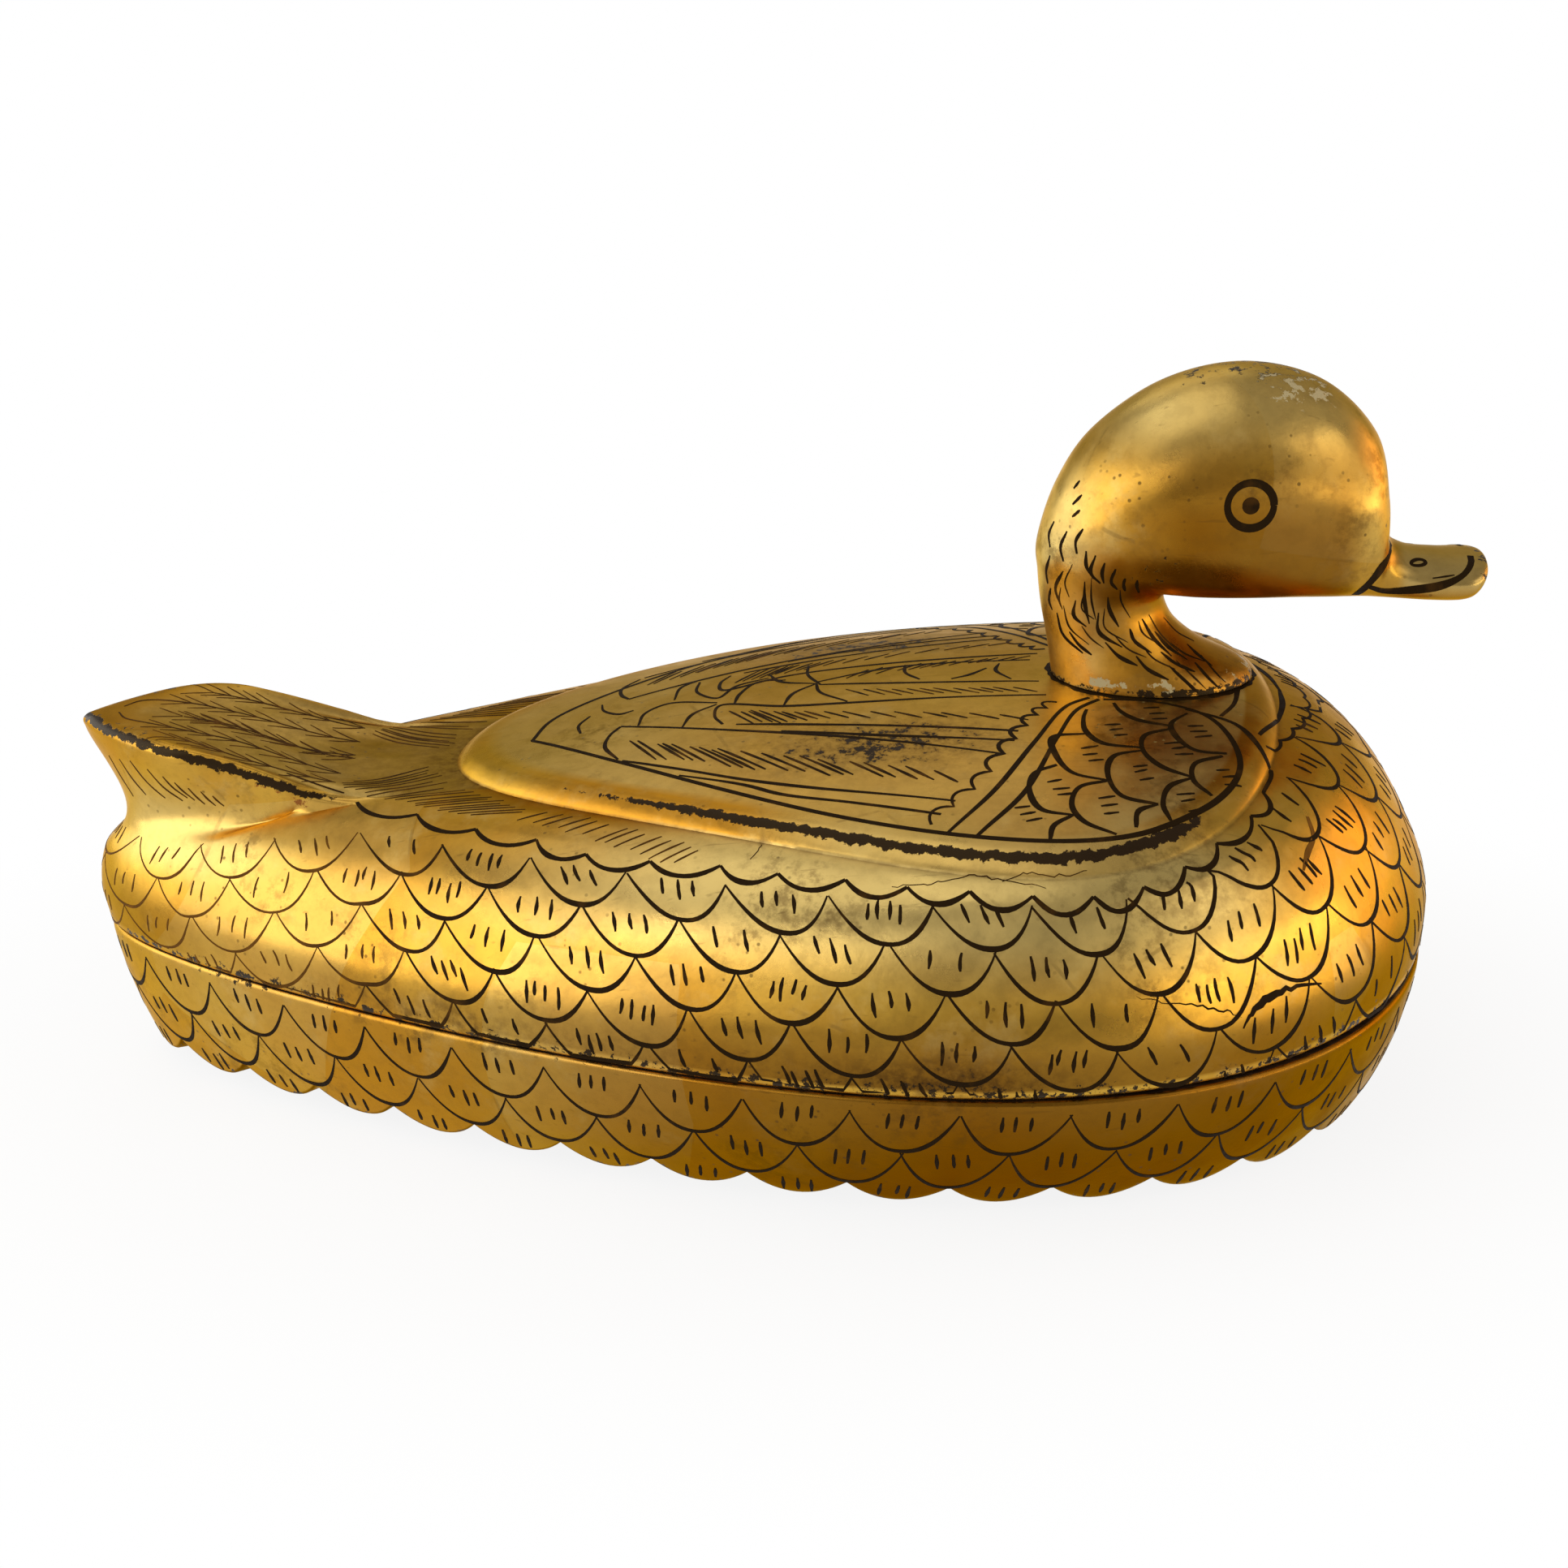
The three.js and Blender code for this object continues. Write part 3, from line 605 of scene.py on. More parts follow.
def paint_lid():
    """Wear, dirt, red ground, painted shade and painted highlights of the lid's edge, flank, wing step and
    back.
    """
    rubbed, bole, grime, deep, pale = np.zeros((5, *lid_rings.shape[:2]))
    flank, step, back = slice(ROUND_ROWS, FLANK_END), slice(FLANK_END, STEP_END), slice(STEP_END, None)
    forward = np.cos(LID_ANGLES)
    front = 0.5 + 0.5 * forward
    up = FLANK_PLACES[:, None]
    # The flank has stains and painted shade low down and painted highlights above. The tail has a worn edge,
    # red ground and a top dulled with painted shade and painted highlight.
    tail_edge_up = TAIL_STEP / (len(FLANK_STEPS) - 1)
    along_tail = 1 - np.abs(LID_ANGLES - math.pi) / TAIL_SPAN
    on_tail = smoothstep(along_tail, 0.03, 0.14)
    tail_top = smoothstep(up, tail_edge_up + 0.12, tail_edge_up + 0.2) * on_tail
    rump = 1 - smoothstep(front, 0.05, 0.14)
    saddle = smoothstep(up, 0.82, 0.9) * (1 - smoothstep(front, 0.2, 0.4))
    burnt = bell(forward, 0.28, 0.16) * (1 - smoothstep(up, 0.04, 0.16))
    stained = between(forward, -0.75, -0.5, 0.3, 0.6) * (1 - smoothstep(up, 0.03, 0.15))
    # Painted shade on the shoulder of the flank, where it tones down a highlight.
    shoulder_shade = bell(forward, 0.68, 0.14) * bell(up, 0.5, 0.16)
    rubbed[:ROUND_ROWS] = 0.5
    rubbed[flank] = 1.05 * bell(up, tail_edge_up + 0.05, 0.06) * on_tail + 0.22 * burnt
    rubbed[ROUND_ROWS : ROUND_ROWS + 2] += 0.25
    bole[flank] = 0.6 * bell(up, tail_edge_up - 0.03, 0.04) * between(along_tail, 0.02, 0.1, 0.2, 0.42)
    # On the flank, burnt and stained places are real dirt; the crease under the wing step, the shoulder and
    # the tail's top get painted shade.
    grime[flank] = 0.5 * bell(up, 1.0, 0.03) + 0.7 * burnt + 0.4 * stained + 0.45 * shoulder_shade + 0.35 * tail_top
    # Painted shade: the lower front of the flank, the low rump and the saddle are darkened as shade and dark
    # reflections.
    low = 0.66 * (1 - smoothstep(up, 0.06, 0.26)) * smoothstep(front, 0.2, 0.6)
    deep[flank] = np.maximum(low + 0.3 * rump * (1 - smoothstep(up, 0.1, 0.24)), 0.4 * saddle)
    # Painted highlights on the upper flank, the rump and the tail's top.
    pale[flank] = smoothstep(up, 0.2, 0.45) * between(front, 0.16, 0.42, 0.83, 0.92)
    pale[flank] += 0.55 * tail_top + 0.8 * rump * between(up, 0.2, 0.3, 0.35, 0.43)
    # The crest of the wing step is rubbed through in a line that is fine at the rear.
    beside = between(forward, -0.95, -0.3, 0.7, 0.84)
    rubbed[step] = bell(STEP_PLACES[:, None], 0.5, lerp(0.05, 0.17, beside)) * (0.12 + 1.08 * beside)
    # Painted shade at the front of the step and a painted highlight along the middle part of its length.
    deep[step] = 0.15 * smoothstep(front, 0.82, 0.92)
    pale[step] = 0.6 * between(front, 0.35, 0.5, 0.8, 0.9)
    # The back has a smudge on each wing and is a little darker overall, with painted highlights towards the
    # neck and the rear.
    x, y = lid_rings[back, :, 0], lid_rings[back, :, 1]
    smudge = bell(x, 29, 24) * bell(np.abs(y), 32, 10)
    rubbed[back] = 0.52 * smudge
    grime[back] = 0.12 + 0.85 * smudge
    pale[back] = 0.4 + 0.6 * smoothstep(x, 66, 80) + 0.3 * (1 - smoothstep(x, -25, 5))
    paint(lid, rubbed=rubbed, bole=bole, grime=grime, deep=deep, pale=pale)


paint_lid()


# Base
def base_point(t, depth, thickness=0.0, lift=0.0):
    """A place on the base at a depth below the rim, moved inwards and up."""
    return at(bowl(t, depth, thickness), RIM_HEIGHT - depth + lift)


def make_base():
    count = SCALLOPS * SCALLOP_STEPS
    t = even_angles(count, lambda a: bowl(a, BASE_DEPTH))
    phase = np.arange(count) % SCALLOP_STEPS / SCALLOP_STEPS
    depth = BASE_DEPTH - SCALLOP_DEPTH * np.abs(2 * phase - 1) ** 2

    def level(inset, z):
        return at(rim(t, inset), z)

    rings = [level(LIP_INSET - FIT, RIM_HEIGHT)]
    for turn in QUARTER_TURN:
        inset = EDGE_ROUND * (1 - math.sin(turn))
        drop = EDGE_ROUND * (1 - math.cos(turn))
        rings.append(level(inset + 0.2 * math.sin(turn), RIM_HEIGHT - drop))
    top_rows = len(rings)
    rings += [base_point(t, lerp(EDGE_ROUND, depth, s)) for s in np.linspace(0, 0.97, WALL_ROWS + 1)[1:]]
    wall_rows = len(rings)
    rings += [base_point(t, depth - 0.25, 0.1), base_point(t, depth, 0.5), base_point(t, depth, SKIRT, FIT)]
    rings.append(at(bowl(t, BASE_DEPTH, 2 * SKIRT), UNDERSIDE_HEIGHT))
    seat = BOARD_THICKNESS + FIT
    ledge = BOARD_INSET + BOARD_LEDGE
    lip_floor = LIP_FOOT - FIT
    rings += [level(BOARD_INSET - FIT, UNDERSIDE_HEIGHT), level(BOARD_INSET - FIT, seat)]
    rings += [level(ledge, seat), level(ledge, seat + LEDGE_THICKNESS)]
    rings += [level(LIP_INSET + LIP_THICKNESS + 3 * FIT, lip_floor), level(LIP_INSET - FIT, lip_floor)]
    piece = ring_piece("duck_base", "base", rings, True, [gold, dark])
    is_dark = np.ones((len(rings), count), int)
    is_dark[2 : wall_rows + 2] = 0
    darken(piece, is_dark)
    rubbed, grime, deep = np.zeros(is_dark.shape), np.zeros(is_dark.shape), np.ones(is_dark.shape)
    rubbed[:2] = 0.7
    rubbed[2:top_rows] = 0.18 + 0.4 * bell(np.cos(t), -0.76, 0.05)
    rubbed[wall_rows - 1 : wall_rows + 2] = 0.3
    # The gold darkens where the lower edge turns under.
    grime[wall_rows:] = 0.5
    down = np.linspace(0, 1, wall_rows)[:, None]
    # Painted shade: the base's gold is darkened towards the front and the bottom, as shade and dark
    # reflections.
    deep[:wall_rows] = lerp(0.05, 1.0, smoothstep(np.cos(t), -0.72, 0.3)) * lerp(0.75, 1.0, down)
    paint(piece, rubbed=rubbed, grime=grime, bole=0.3 * rubbed, deep=deep)
    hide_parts("base_bowl")


make_base()


def plain_ring(name, node, profile, is_tube):
    """A ring or board that follows the rim: its profile is pairs of inset and height."""
    t = np.linspace(0, TURN, RING_COLUMNS, endpoint=False)
    rings = [at(rim(t, inset), z) for inset, z in profile]
    piece = ring_piece(name, "base", rings, is_tube, [dark])
    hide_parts(node)


LIP_BACK = LIP_INSET + LIP_THICKNESS
LIP_CHAMFER = 0.4
LIP_ROUND = [(EDGE_ROUND * (1 - math.cos(a)), EDGE_ROUND * (1 - math.sin(a))) for a in QUARTER_TURN]
LIP_PROFILE = [
    (LIP_INSET, LIP_FOOT), *((LIP_INSET + inward, LIP_TOP - drop) for inward, drop in LIP_ROUND),
    (LIP_BACK - LIP_CHAMFER, LIP_TOP), (LIP_BACK, LIP_TOP - LIP_CHAMFER), (LIP_BACK, LIP_FOOT),
]
BOARD_PROFILE = [
    (BOARD_INSET + EDGE_ROUND, 0.0), (BOARD_INSET + 0.35 * EDGE_ROUND, 0.35 * EDGE_ROUND),
    (BOARD_INSET, EDGE_ROUND), (BOARD_INSET, BOARD_THICKNESS),
]
plain_ring("lip", "locating_lip", LIP_PROFILE, True)
plain_ring("board", "bottom_board", BOARD_PROFILE, False)
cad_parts["neck_peg"].data.materials.clear()
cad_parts["neck_peg"].data.materials.append(wood)


# Head
def foot_x(share):
    return FOOT_HALF_LENGTH * share


def head_x(share):
    return lerp(-NAPE_SETBACK, BROW_REACH, share)


def neck_z(share):
    return HEAD_UNDERSIDE * share


def head_z(share):
    return lerp(HEAD_UNDERSIDE, HEAD_RISE, share)


def bill_x(share):
    return BROW_REACH + BILL_LENGTH * share


def bill_z(share):
    return HEAD_UNDERSIDE - BILL_DROP + BILL_THICKNESS * share


NAPE_HALF_WIDTH = lerp(NECK_HALF_WIDTH, HEAD_HALF_WIDTH, 0.25)
# Sections from an inner point (throat, underside) to an outer one (nape, crown, top of the bill):
# inner x and z, outer x and z, half width, squareness near the inner point.
HEAD_SECTIONS = np.array(
    [
        [foot_x(1), 0, foot_x(-1), 0, FOOT_HALF_WIDTH, 2],
        [foot_x(0.89), neck_z(0.12), foot_x(-1.02), neck_z(0.17), 0.95 * FOOT_HALF_WIDTH, 2],
        [head_x(0.49), neck_z(0.34), head_x(0.03), neck_z(0.46), 1.06 * NECK_HALF_WIDTH, 2],
        [head_x(0.41), neck_z(0.58), head_x(0.013), neck_z(0.8), NECK_HALF_WIDTH, 2],
        [head_x(0.376), neck_z(0.8), head_x(0.003), head_z(0.06), 1.03 * NECK_HALF_WIDTH, 2],
        [head_x(0.374), neck_z(0.93), head_x(0), head_z(0.21), NAPE_HALF_WIDTH, 2.2],
        [head_x(0.4), neck_z(0.94), head_x(0.054), head_z(0.475), 0.84 * HEAD_HALF_WIDTH, 2.6],
        [head_x(0.452), neck_z(0.935), head_x(0.157), head_z(0.714), 0.93 * HEAD_HALF_WIDTH, 3],
        [head_x(0.519), neck_z(0.93), head_x(0.352), head_z(0.924), 0.985 * HEAD_HALF_WIDTH, 3.2],
        [head_x(0.613), neck_z(0.925), head_x(0.578), head_z(1), HEAD_HALF_WIDTH, 3.2],
        [head_x(0.734), neck_z(0.92), head_x(0.796), head_z(0.92), 0.92 * HEAD_HALF_WIDTH, 3.2],
        [head_x(0.841), neck_z(0.91), head_x(0.949), head_z(0.7), 0.79 * HEAD_HALF_WIDTH, 3.2],
        [head_x(0.922), bill_z(0.1), head_x(0.992), head_z(0.448), 0.63 * HEAD_HALF_WIDTH, 3.2],
        [head_x(0.976), bill_z(0.06), head_x(1), bill_z(1.53), 0.92 * BILL_HALF_WIDTH, 3.2],
        [bill_x(0.1), bill_z(0.02), bill_x(0.21), bill_z(1.13), 0.86 * BILL_HALF_WIDTH, 3],
        [bill_x(0.4), bill_z(0), bill_x(0.565), bill_z(1), 0.96 * BILL_HALF_WIDTH, 3],
        [bill_x(0.7), bill_z(0), bill_x(0.86), bill_z(0.99), BILL_HALF_WIDTH, 2.8],
        [bill_x(0.845), bill_z(0.1), bill_x(0.972), bill_z(0.945), 0.84 * BILL_HALF_WIDTH, 2.6],
        [bill_x(0.93), bill_z(0.36), bill_x(1), bill_z(0.83), 0.55 * BILL_HALF_WIDTH, 2.2],
    ]
)


def head_section(share):
    """A section of the head, eased between the rows above."""
    place = share * (len(HEAD_SECTIONS) - 1)
    i = min(int(place), len(HEAD_SECTIONS) - 2)
    p0, p1, p2, p3 = (HEAD_SECTIONS[min(max(i + k, 0), len(HEAD_SECTIONS) - 1)] for k in (-1, 0, 1, 2))
    return cubic(p1, p2, (p2 - p0) / 2, (p3 - p1) / 2, place - i)


NECK_HEIGHT = float(back_height(np.array([NECK_X, 0.0])))
# Rings that round off the bill: pairs of a share of the last section and how far it stands out
BILL_TIP = ((0.75, 0.35), (0.4, 0.6), (0.12, 0.66))


def head_ring(share, turn):
    inner_x, inner_z, outer_x, outer_z, half_width, squareness = head_section(share)
    c, s = np.cos(turn), np.sin(turn)
    power = np.where(c > 0, 2 / squareness, 1.0)
    along = 0.5 - 0.5 * np.sign(c) * np.abs(c) ** power
    aside = half_width * np.sign(s) * np.abs(s) ** power
    x = NECK_X + lerp(inner_x, outer_x, along)
    z = NECK_HEIGHT + FIT + lerp(inner_z, outer_z, along)
    return np.stack([x, aside, z], -1)


def make_head():
    turn = np.linspace(0, TURN, HEAD_COLUMNS, endpoint=False)
    rings = [head_ring(s, turn) for s in np.linspace(0, 1, HEAD_ROWS + 1)]
    foot = rings[0]
    hole = peg_hole(turn)
    seats = [lerp(hole, foot[:, :2], s) for s in np.linspace(0, 1, SEAT_ROWS + 1)]
    seat_rings = [at(plan, back_height(plan) + FIT) for plan in seats]
    socket = at(hole, NECK_HEIGHT + PEG_IN_NECK + 2 * FIT)
    tip = rings[-1]
    middle = tip.mean(0)
    nose = [lerp(middle, tip, s) + np.array([out, 0, 0]) for s, out in BILL_TIP]
    rings = [socket, *seat_rings, *rings[1:], *nose]
    piece = ring_piece("duck_head", "lid", rings, False, [gold])
    points = np.concatenate(rings)
    x, y, z = (points - [NECK_X, 0, NECK_HEIGHT]).T
    crown = bell(x, 29, 11) * bell(np.abs(y), 8, 7) * smoothstep(z, 58, 63)
    top = bell(x, 12, 24) * bell(y, 0, 9) * smoothstep(z, 58, 66)
    foot_wear = 1 - smoothstep(z, 0.5, 2.0)
    bill_edge = smoothstep(x, BROW_REACH + 16, BROW_REACH + 21)
    turned = np.arctan2(y, x)
    patches = np.clip(0.3 + np.sin(3 * turned + 1.5) + 0.8 * np.sin(8 * turned + 0.7), 0, 1)
    behind = bell(x, -3, 8) * bell(z, 29, 7)
    # Painted shade on the cheek and the neck, and painted highlights on the top of the head, the nape, the
    # crown, the back of the neck and the bill.
    cheek_shade = between(x, -14, 6, BROW_REACH - 13, BROW_REACH - 3) * between(z, 12, 20, 36, 62)
    neck_rear = (1 - smoothstep(x, -20, -9)) * (1 - smoothstep(z, 28, 38))
    neck_deep = lerp(0.12, 0.4, smoothstep(z, 8, 18)) * (1 - smoothstep(z, 18, 40)) * (1 - neck_rear)
    nape = bell(x, -22, 6) * bell(z, 41, 13)
    crown_highlight = bell(x, -6, 12) * bell(z, 58, 8)
    bill = smoothstep(x, BROW_REACH + 1, BROW_REACH + 4) * smoothstep(z, bill_z(0.2), bill_z(0.6))
    paint(
        piece,
        rubbed=0.42 * crown + 0.36 * top + 0.3 * behind + 0.62 * foot_wear + 0.4 * bill_edge,
        filler=0.55 * crown + 0.68 * patches * bell(z, 2.1, 1.5),
        grime=0.45 * (1 - smoothstep(z, 0, 7)) + 0.4 * crown,
        bole=0.35 * foot_wear,
        deep=np.maximum(neck_deep, 0.75 * cheek_shade),
        pale=0.6 * smoothstep(z, 50, 62) + 0.9 * nape + 0.4 * crown_highlight + 0.9 * neck_rear + bill,
    )
    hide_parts("head_and_neck")
    return piece


head = make_head()


# Brush strokes: thin closed ribbons of lacquer that lie on the gold
INK_PROUD = 0.07
INK_SUNK = 0.12
NEAR, FAR = -1.0, 1.0
# Lines of sight start this far above the floor or to the side of the box's middle
SIGHT_ABOVE = 200.0
SIGHT_BESIDE = 150.0
lid_surface, head_surface = surface_of(lid), surface_of(head)


def seen_from(side, line):
    """Starts of lines of sight from one side to places of length and height."""
    return np.stack([line[:, 0], np.full(len(line), side * SIGHT_BESIDE), line[:, 1]], -1)


def landed(surface, starts, direction):
    """Where lines of sight from the starts meet a surface, with its outward normals."""
    hits = [surface.ray_cast(Vector(start) * MM, Vector(direction)) for start in starts.tolist()]
    hits = [hit for hit in hits if hit[0] is not None]
    return np.array([hit[0] for hit in hits]) / MM, np.array([hit[1] for hit in hits])


class Ink:
    """Strokes that make one piece."""

    def __init__(self):
        self.points = []
        self.faces = []
        self.thin = []

    def ribbon(self, points, normals, widths, thin=0.0):
        count = len(points)
        along = np.gradient(points, axis=0)
        aside = np.cross(normals, along)
        aside /= np.maximum(np.linalg.norm(aside, axis=1, keepdims=True), 1e-9)
        half = aside * np.asarray(widths)[:, None] / 2
        top, bottom = points + normals * INK_PROUD, points - normals * INK_SUNK
        start = len(self.points)
        corners = np.stack([top - half, bottom - half, bottom + half, top + half], 1)
        self.points.extend(corners.reshape(-1, 3))
        self.thin.extend([thin] * (4 * count))
        for i in range(count - 1):
            a, b = start + 4 * i, start + 4 * (i + 1)
            for k in range(4):
                m = (k + 1) % 4
                self.faces.append((a + k, a + m, b + m, b + k))
        end = start + 4 * (count - 1)
        self.faces.append((start + 3, start + 2, start + 1, start))
        self.faces.append((end, end + 1, end + 2, end + 3))

    def line(self, surface, starts, direction, width, thin, ends):
        """Draws the line where lines of sight from the starts meet a surface."""
        points, normals = landed(surface, starts, direction)
        if len(points) > 2:
            self.ribbon(points, normals, swelling(len(points), width, rng.uniform(0.35, 0.65), ends), thin)

    def on_back(self, line, width, side=NEAR, thin=0.0, ends=0.5):
        """Draws a line of plan places, given for the near side, on the lid from above."""
        self.line(lid_surface, at(line * [1, -side], SIGHT_ABOVE), (0, 0, -1), width, thin, ends)

    def through(self, lines, width, side=NEAR, thin=0.0, ends=0.5):
        """Draws lines on the back, each through a few plan places."""
        for places in lines:
            self.on_back(line_through(places), width, side, thin, ends)

    def on_side(self, surface, line, width, side=NEAR, thin=0.0, ends=0.5):
        """Draws a line of length and height places on a surface seen from one side."""
        self.line(surface, seen_from(side, line), (0, -side, 0), width, thin, ends)

    def hatch(self, starts, ends, count, width, side, thin):
        for line in hatching(starts, ends, count):
            self.on_back(line, width, side, thin)

    def make(self, name, body):
        piece = make_piece(name, body, np.array(self.points), self.faces, [ink])
        paint(piece, thin=self.thin)


def swelling(count, width, thick_at=0.55, ends=0.35):
    """Widths of a brush stroke: fine at its ends, full at one place, and a little uneven."""
    s = np.linspace(0, 1, count)
    full = np.where(s < thick_at, s / thick_at, (1 - s) / (1 - thick_at))
    waver = 1 + 0.16 * np.sin(s * rng.uniform(5, 11) + rng.uniform(0, TURN))
    return width * (ends + (1 - ends) * np.sin(full * math.pi / 2)) * waver


def normals_of(surface, a, b, points):
    """Normals of a surface given by two numbers, outward where a, b and the normal are right-handed."""
    step = 1e-4
    along_a = surface(a + step, b) - points
    along_b = surface(a, b + step) - points
    normal = np.cross(along_a, along_b)
    return normal / np.maximum(np.linalg.norm(normal, axis=-1, keepdims=True), 1e-12)


# Feathers of the lid hang in rows from a line below the wings, the mantle line, which passes under the tail.
# Each pair is an angle from the breast in degrees and a height as a share of the flank.
MANTLE = [
    (0, 0.885), (28, 0.835), (42, 0.756), (50, 0.622), (60, 0.547), (75, 0.547), (90, 0.517), (108, 0.489),
    (122, 0.48), (139, 0.47), (148, 0.375), (153, 0.33), (160, 0.313), (180, 0.316),
]
FEATHERS = 34
LID_PHASE = 0.28


def from_breast(t):
    return np.abs(np.mod(t + math.pi, TURN) - math.pi)


def mantle(t):
    angles, heights = np.array(MANTLE).T
    return np.interp(np.degrees(from_breast(t)), angles, heights)


EVEN_COUNT = 720
RIM_EVEN = even_angles(EVEN_COUNT, rim)


def around(even, p):
    """The angle of a place on a ring that is counted in feathers."""
    share = np.mod(p / FEATHERS, 1)
    return np.interp(share, np.arange(EVEN_COUNT + 1) / EVEN_COUNT, np.append(even, TURN))


def turn_of(x, middle, reach):
    """A length along the body as an angle round its middle."""
    return np.arccos(np.clip((x - middle) / reach, -1, 1))


# Columns of feathers stand upright on the sides, so a place on the mantle line is found by its length along
# the body. The lengths are turned to angles, which run evenly round the breast and the rump.
MANTLE_HALF = np.linspace(0, math.pi, 361)


def flank_x(t, v):
    """Length along the body of a place on the flank, as if it had no tail."""
    t, v = np.broadcast_arrays(t, v)
    return eased(np.stack([flank_point(t, share) for share in FLANK_STEPS]), v)[..., 0]


MANTLE_X = flank_x(MANTLE_HALF, mantle(MANTLE_HALF))
MANTLE_MIDDLE = (MANTLE_X[0] + MANTLE_X[-1]) / 2
MANTLE_REACH = (MANTLE_X[0] - MANTLE_X[-1]) / 2
MANTLE_TURN = np.maximum.accumulate(turn_of(MANTLE_X, MANTLE_MIDDLE, MANTLE_REACH))
COLUMN_SHIFT = 5.0


def above(t):
    """Angle on the mantle line above a place on the rim."""
    half = np.mod(t, TURN)
    side = np.where(half > math.pi, -1.0, 1.0)
    x = BODY_HALF_LENGTH * np.cos(half)
    ahead = np.maximum(0, x / BODY_HALF_LENGTH) ** 3
    behind = np.maximum(0, -x / BODY_HALF_LENGTH) ** 3
    front_gap = BODY_HALF_LENGTH - COLUMN_SHIFT - MANTLE_X[0]
    rear_gap = MANTLE_X[-1] + BODY_HALF_LENGTH + COLUMN_SHIFT
    x = x - COLUMN_SHIFT - front_gap * ahead + rear_gap * behind
    turn = turn_of(x, MANTLE_MIDDLE, MANTLE_REACH)
    return np.mod(side * np.interp(turn, MANTLE_TURN, MANTLE_HALF), TURN)


def row_height(p):
    """Height of a row of feathers: lower at the rump, higher at the breast."""
    c = np.cos(TURN * p / FEATHERS)
    return 9.0 + 2.2 * np.maximum(0, c) ** 2 - 0.9 * np.maximum(0, -c) ** 2


# How far round the body each place of the flank lies, by its length along the body
FLANK_GRID = np.linspace(0, 1, 41)
FLANK_X = flank_x(MANTLE_HALF[None, :], FLANK_GRID[:, None])
FLANK_MIDDLE = (FLANK_X[:, 0] + FLANK_X[:, -1]) / 2
FLANK_REACH = (FLANK_X[:, 0] - FLANK_X[:, -1]) / 2
FLANK_TURNS = turn_of(FLANK_X, FLANK_MIDDLE[:, None], FLANK_REACH[:, None])
FLANK_TURNS = np.maximum.accumulate(FLANK_TURNS, 1) + 1e-6 * np.arange(len(MANTLE_HALF))


def between_grid(values, v, known, wanted):
    """Values of one half turn looked up at heights v, between the rows of the grid."""
    place = np.clip(v, 0, 1) * (len(FLANK_GRID) - 1)
    low = np.minimum(place.astype(int), len(FLANK_GRID) - 2)
    found = np.zeros_like(values)
    for row in np.unique(low):
        here = low == row
        ends = [np.interp(values[here], known[k], wanted[k]) for k in (row, row + 1)]
        found[here] = lerp(*ends, place[here] - row)
    return found


# The painter's columns drift along the sides: pairs of a column and its shift towards the breast.
DRIFT = [(17, 0), (18, 0.2), (21, 0.38), (24, 0.3), (26, 0.16), (29, 0), (34, 0)]


def drift(p):
    columns, shifts = np.array(DRIFT).T
    from_rump = np.mod(p, FEATHERS) - FEATHERS / 2
    return np.sign(from_rump) * np.interp(np.abs(from_rump) + FEATHERS / 2, columns, shifts)


def column_path(p, shares):
    """A column of feathers from above the mantle line (share below 0) down to the lid's edge (1)."""
    from_rim = around(RIM_EVEN, p + drift(p))
    from_mantle = above(from_rim)
    side = np.where(from_rim > math.pi, -1.0, 1.0)
    half_rim, half_mantle = from_breast(from_rim), from_breast(from_mantle)
    top = mantle(from_mantle)
    halves = np.broadcast_to(MANTLE_HALF, FLANK_TURNS.shape)
    turn = between_grid(half_mantle, top, halves, FLANK_TURNS)
    v = np.clip(top[:, None] * (1 - shares), 0, 1)
    down = np.maximum(shares, 0)
    middle, reach = (np.interp(v, FLANK_GRID, values) for values in (FLANK_MIDDLE, FLANK_REACH))
    x = lerp(flank_x(half_mantle, top)[:, None], BODY_HALF_LENGTH * np.cos(half_rim)[:, None], down)
    upright = turn_of(x, middle, reach)
    fanned = lerp(turn[:, None], half_rim[:, None], down)
    turns = lerp(upright, fanned, smoothstep(np.abs(np.cos(half_rim)), 0.6, 0.95)[:, None])
    return side[:, None] * between_grid(turns, v, FLANK_TURNS, halves), v


def lid_spot(p, rows):
    """Flank place of a feather coordinate: p feathers round the body and rows down from the mantle line.
    Also gives the rows that fit between that line and the lid's edge there."""
    shares = np.linspace(-0.35, 1, 55)
    t, v = column_path(p, np.broadcast_to(shares, (len(p), len(shares))))
    path = lid_flank(t, v)
    steps = np.linalg.norm(np.diff(path, axis=1), axis=-1)
    walked = np.concatenate([np.zeros((len(p), 1)), np.cumsum(steps, 1)], 1)
    zero = np.array([np.interp(0, shares, w) for w in walked])
    down = (walked - zero[:, None]) / row_height(p)[:, None]
    share = np.array([np.interp(r, d, shares) for r, d in zip(rows, down)])
    angle, height = column_path(p, share[:, None])
    return angle[:, 0], height[:, 0], down[:, -1]


def scallop(middle, row, depth, count=19):
    """Places along one hanging scallop."""
    s = np.linspace(-1, 1, count)
    lean = rng.uniform(-0.04, 0.04)
    p = middle + 0.5 * s + lean * (1 - s * s)
    rows = row + depth * (1 - np.abs(s) ** 2.25)
    return p, rows


def lid_stroke(strokes, p, rows, widths, thin=0.0):
    """Draws a stroke on the flank, as far as the lid's edge."""
    t, v, last = lid_spot(p, rows)
    keep = rows < last - 0.06
    if keep.sum() < 3:
        return
    t, v, widths = t[keep], v[keep], widths[keep]
    points = lid_flank(t, v)
    strokes.ribbon(points, normals_of(lid_flank, t, v, points), widths, thin)


def dryness(p):
    """Strokes are browner and finer round the rump."""
    return float(smoothstep(-math.cos(TURN * p / FEATHERS), 0.55, 0.95))


# Widths of a feather's edge and of the short strokes in it, with a full brush and with a dry one
EDGE_WIDTHS = (1.05, 0.6)
TICK_WIDTHS = (0.8, 0.48)
BROWNEST = 0.75
LID_ROWS = 7


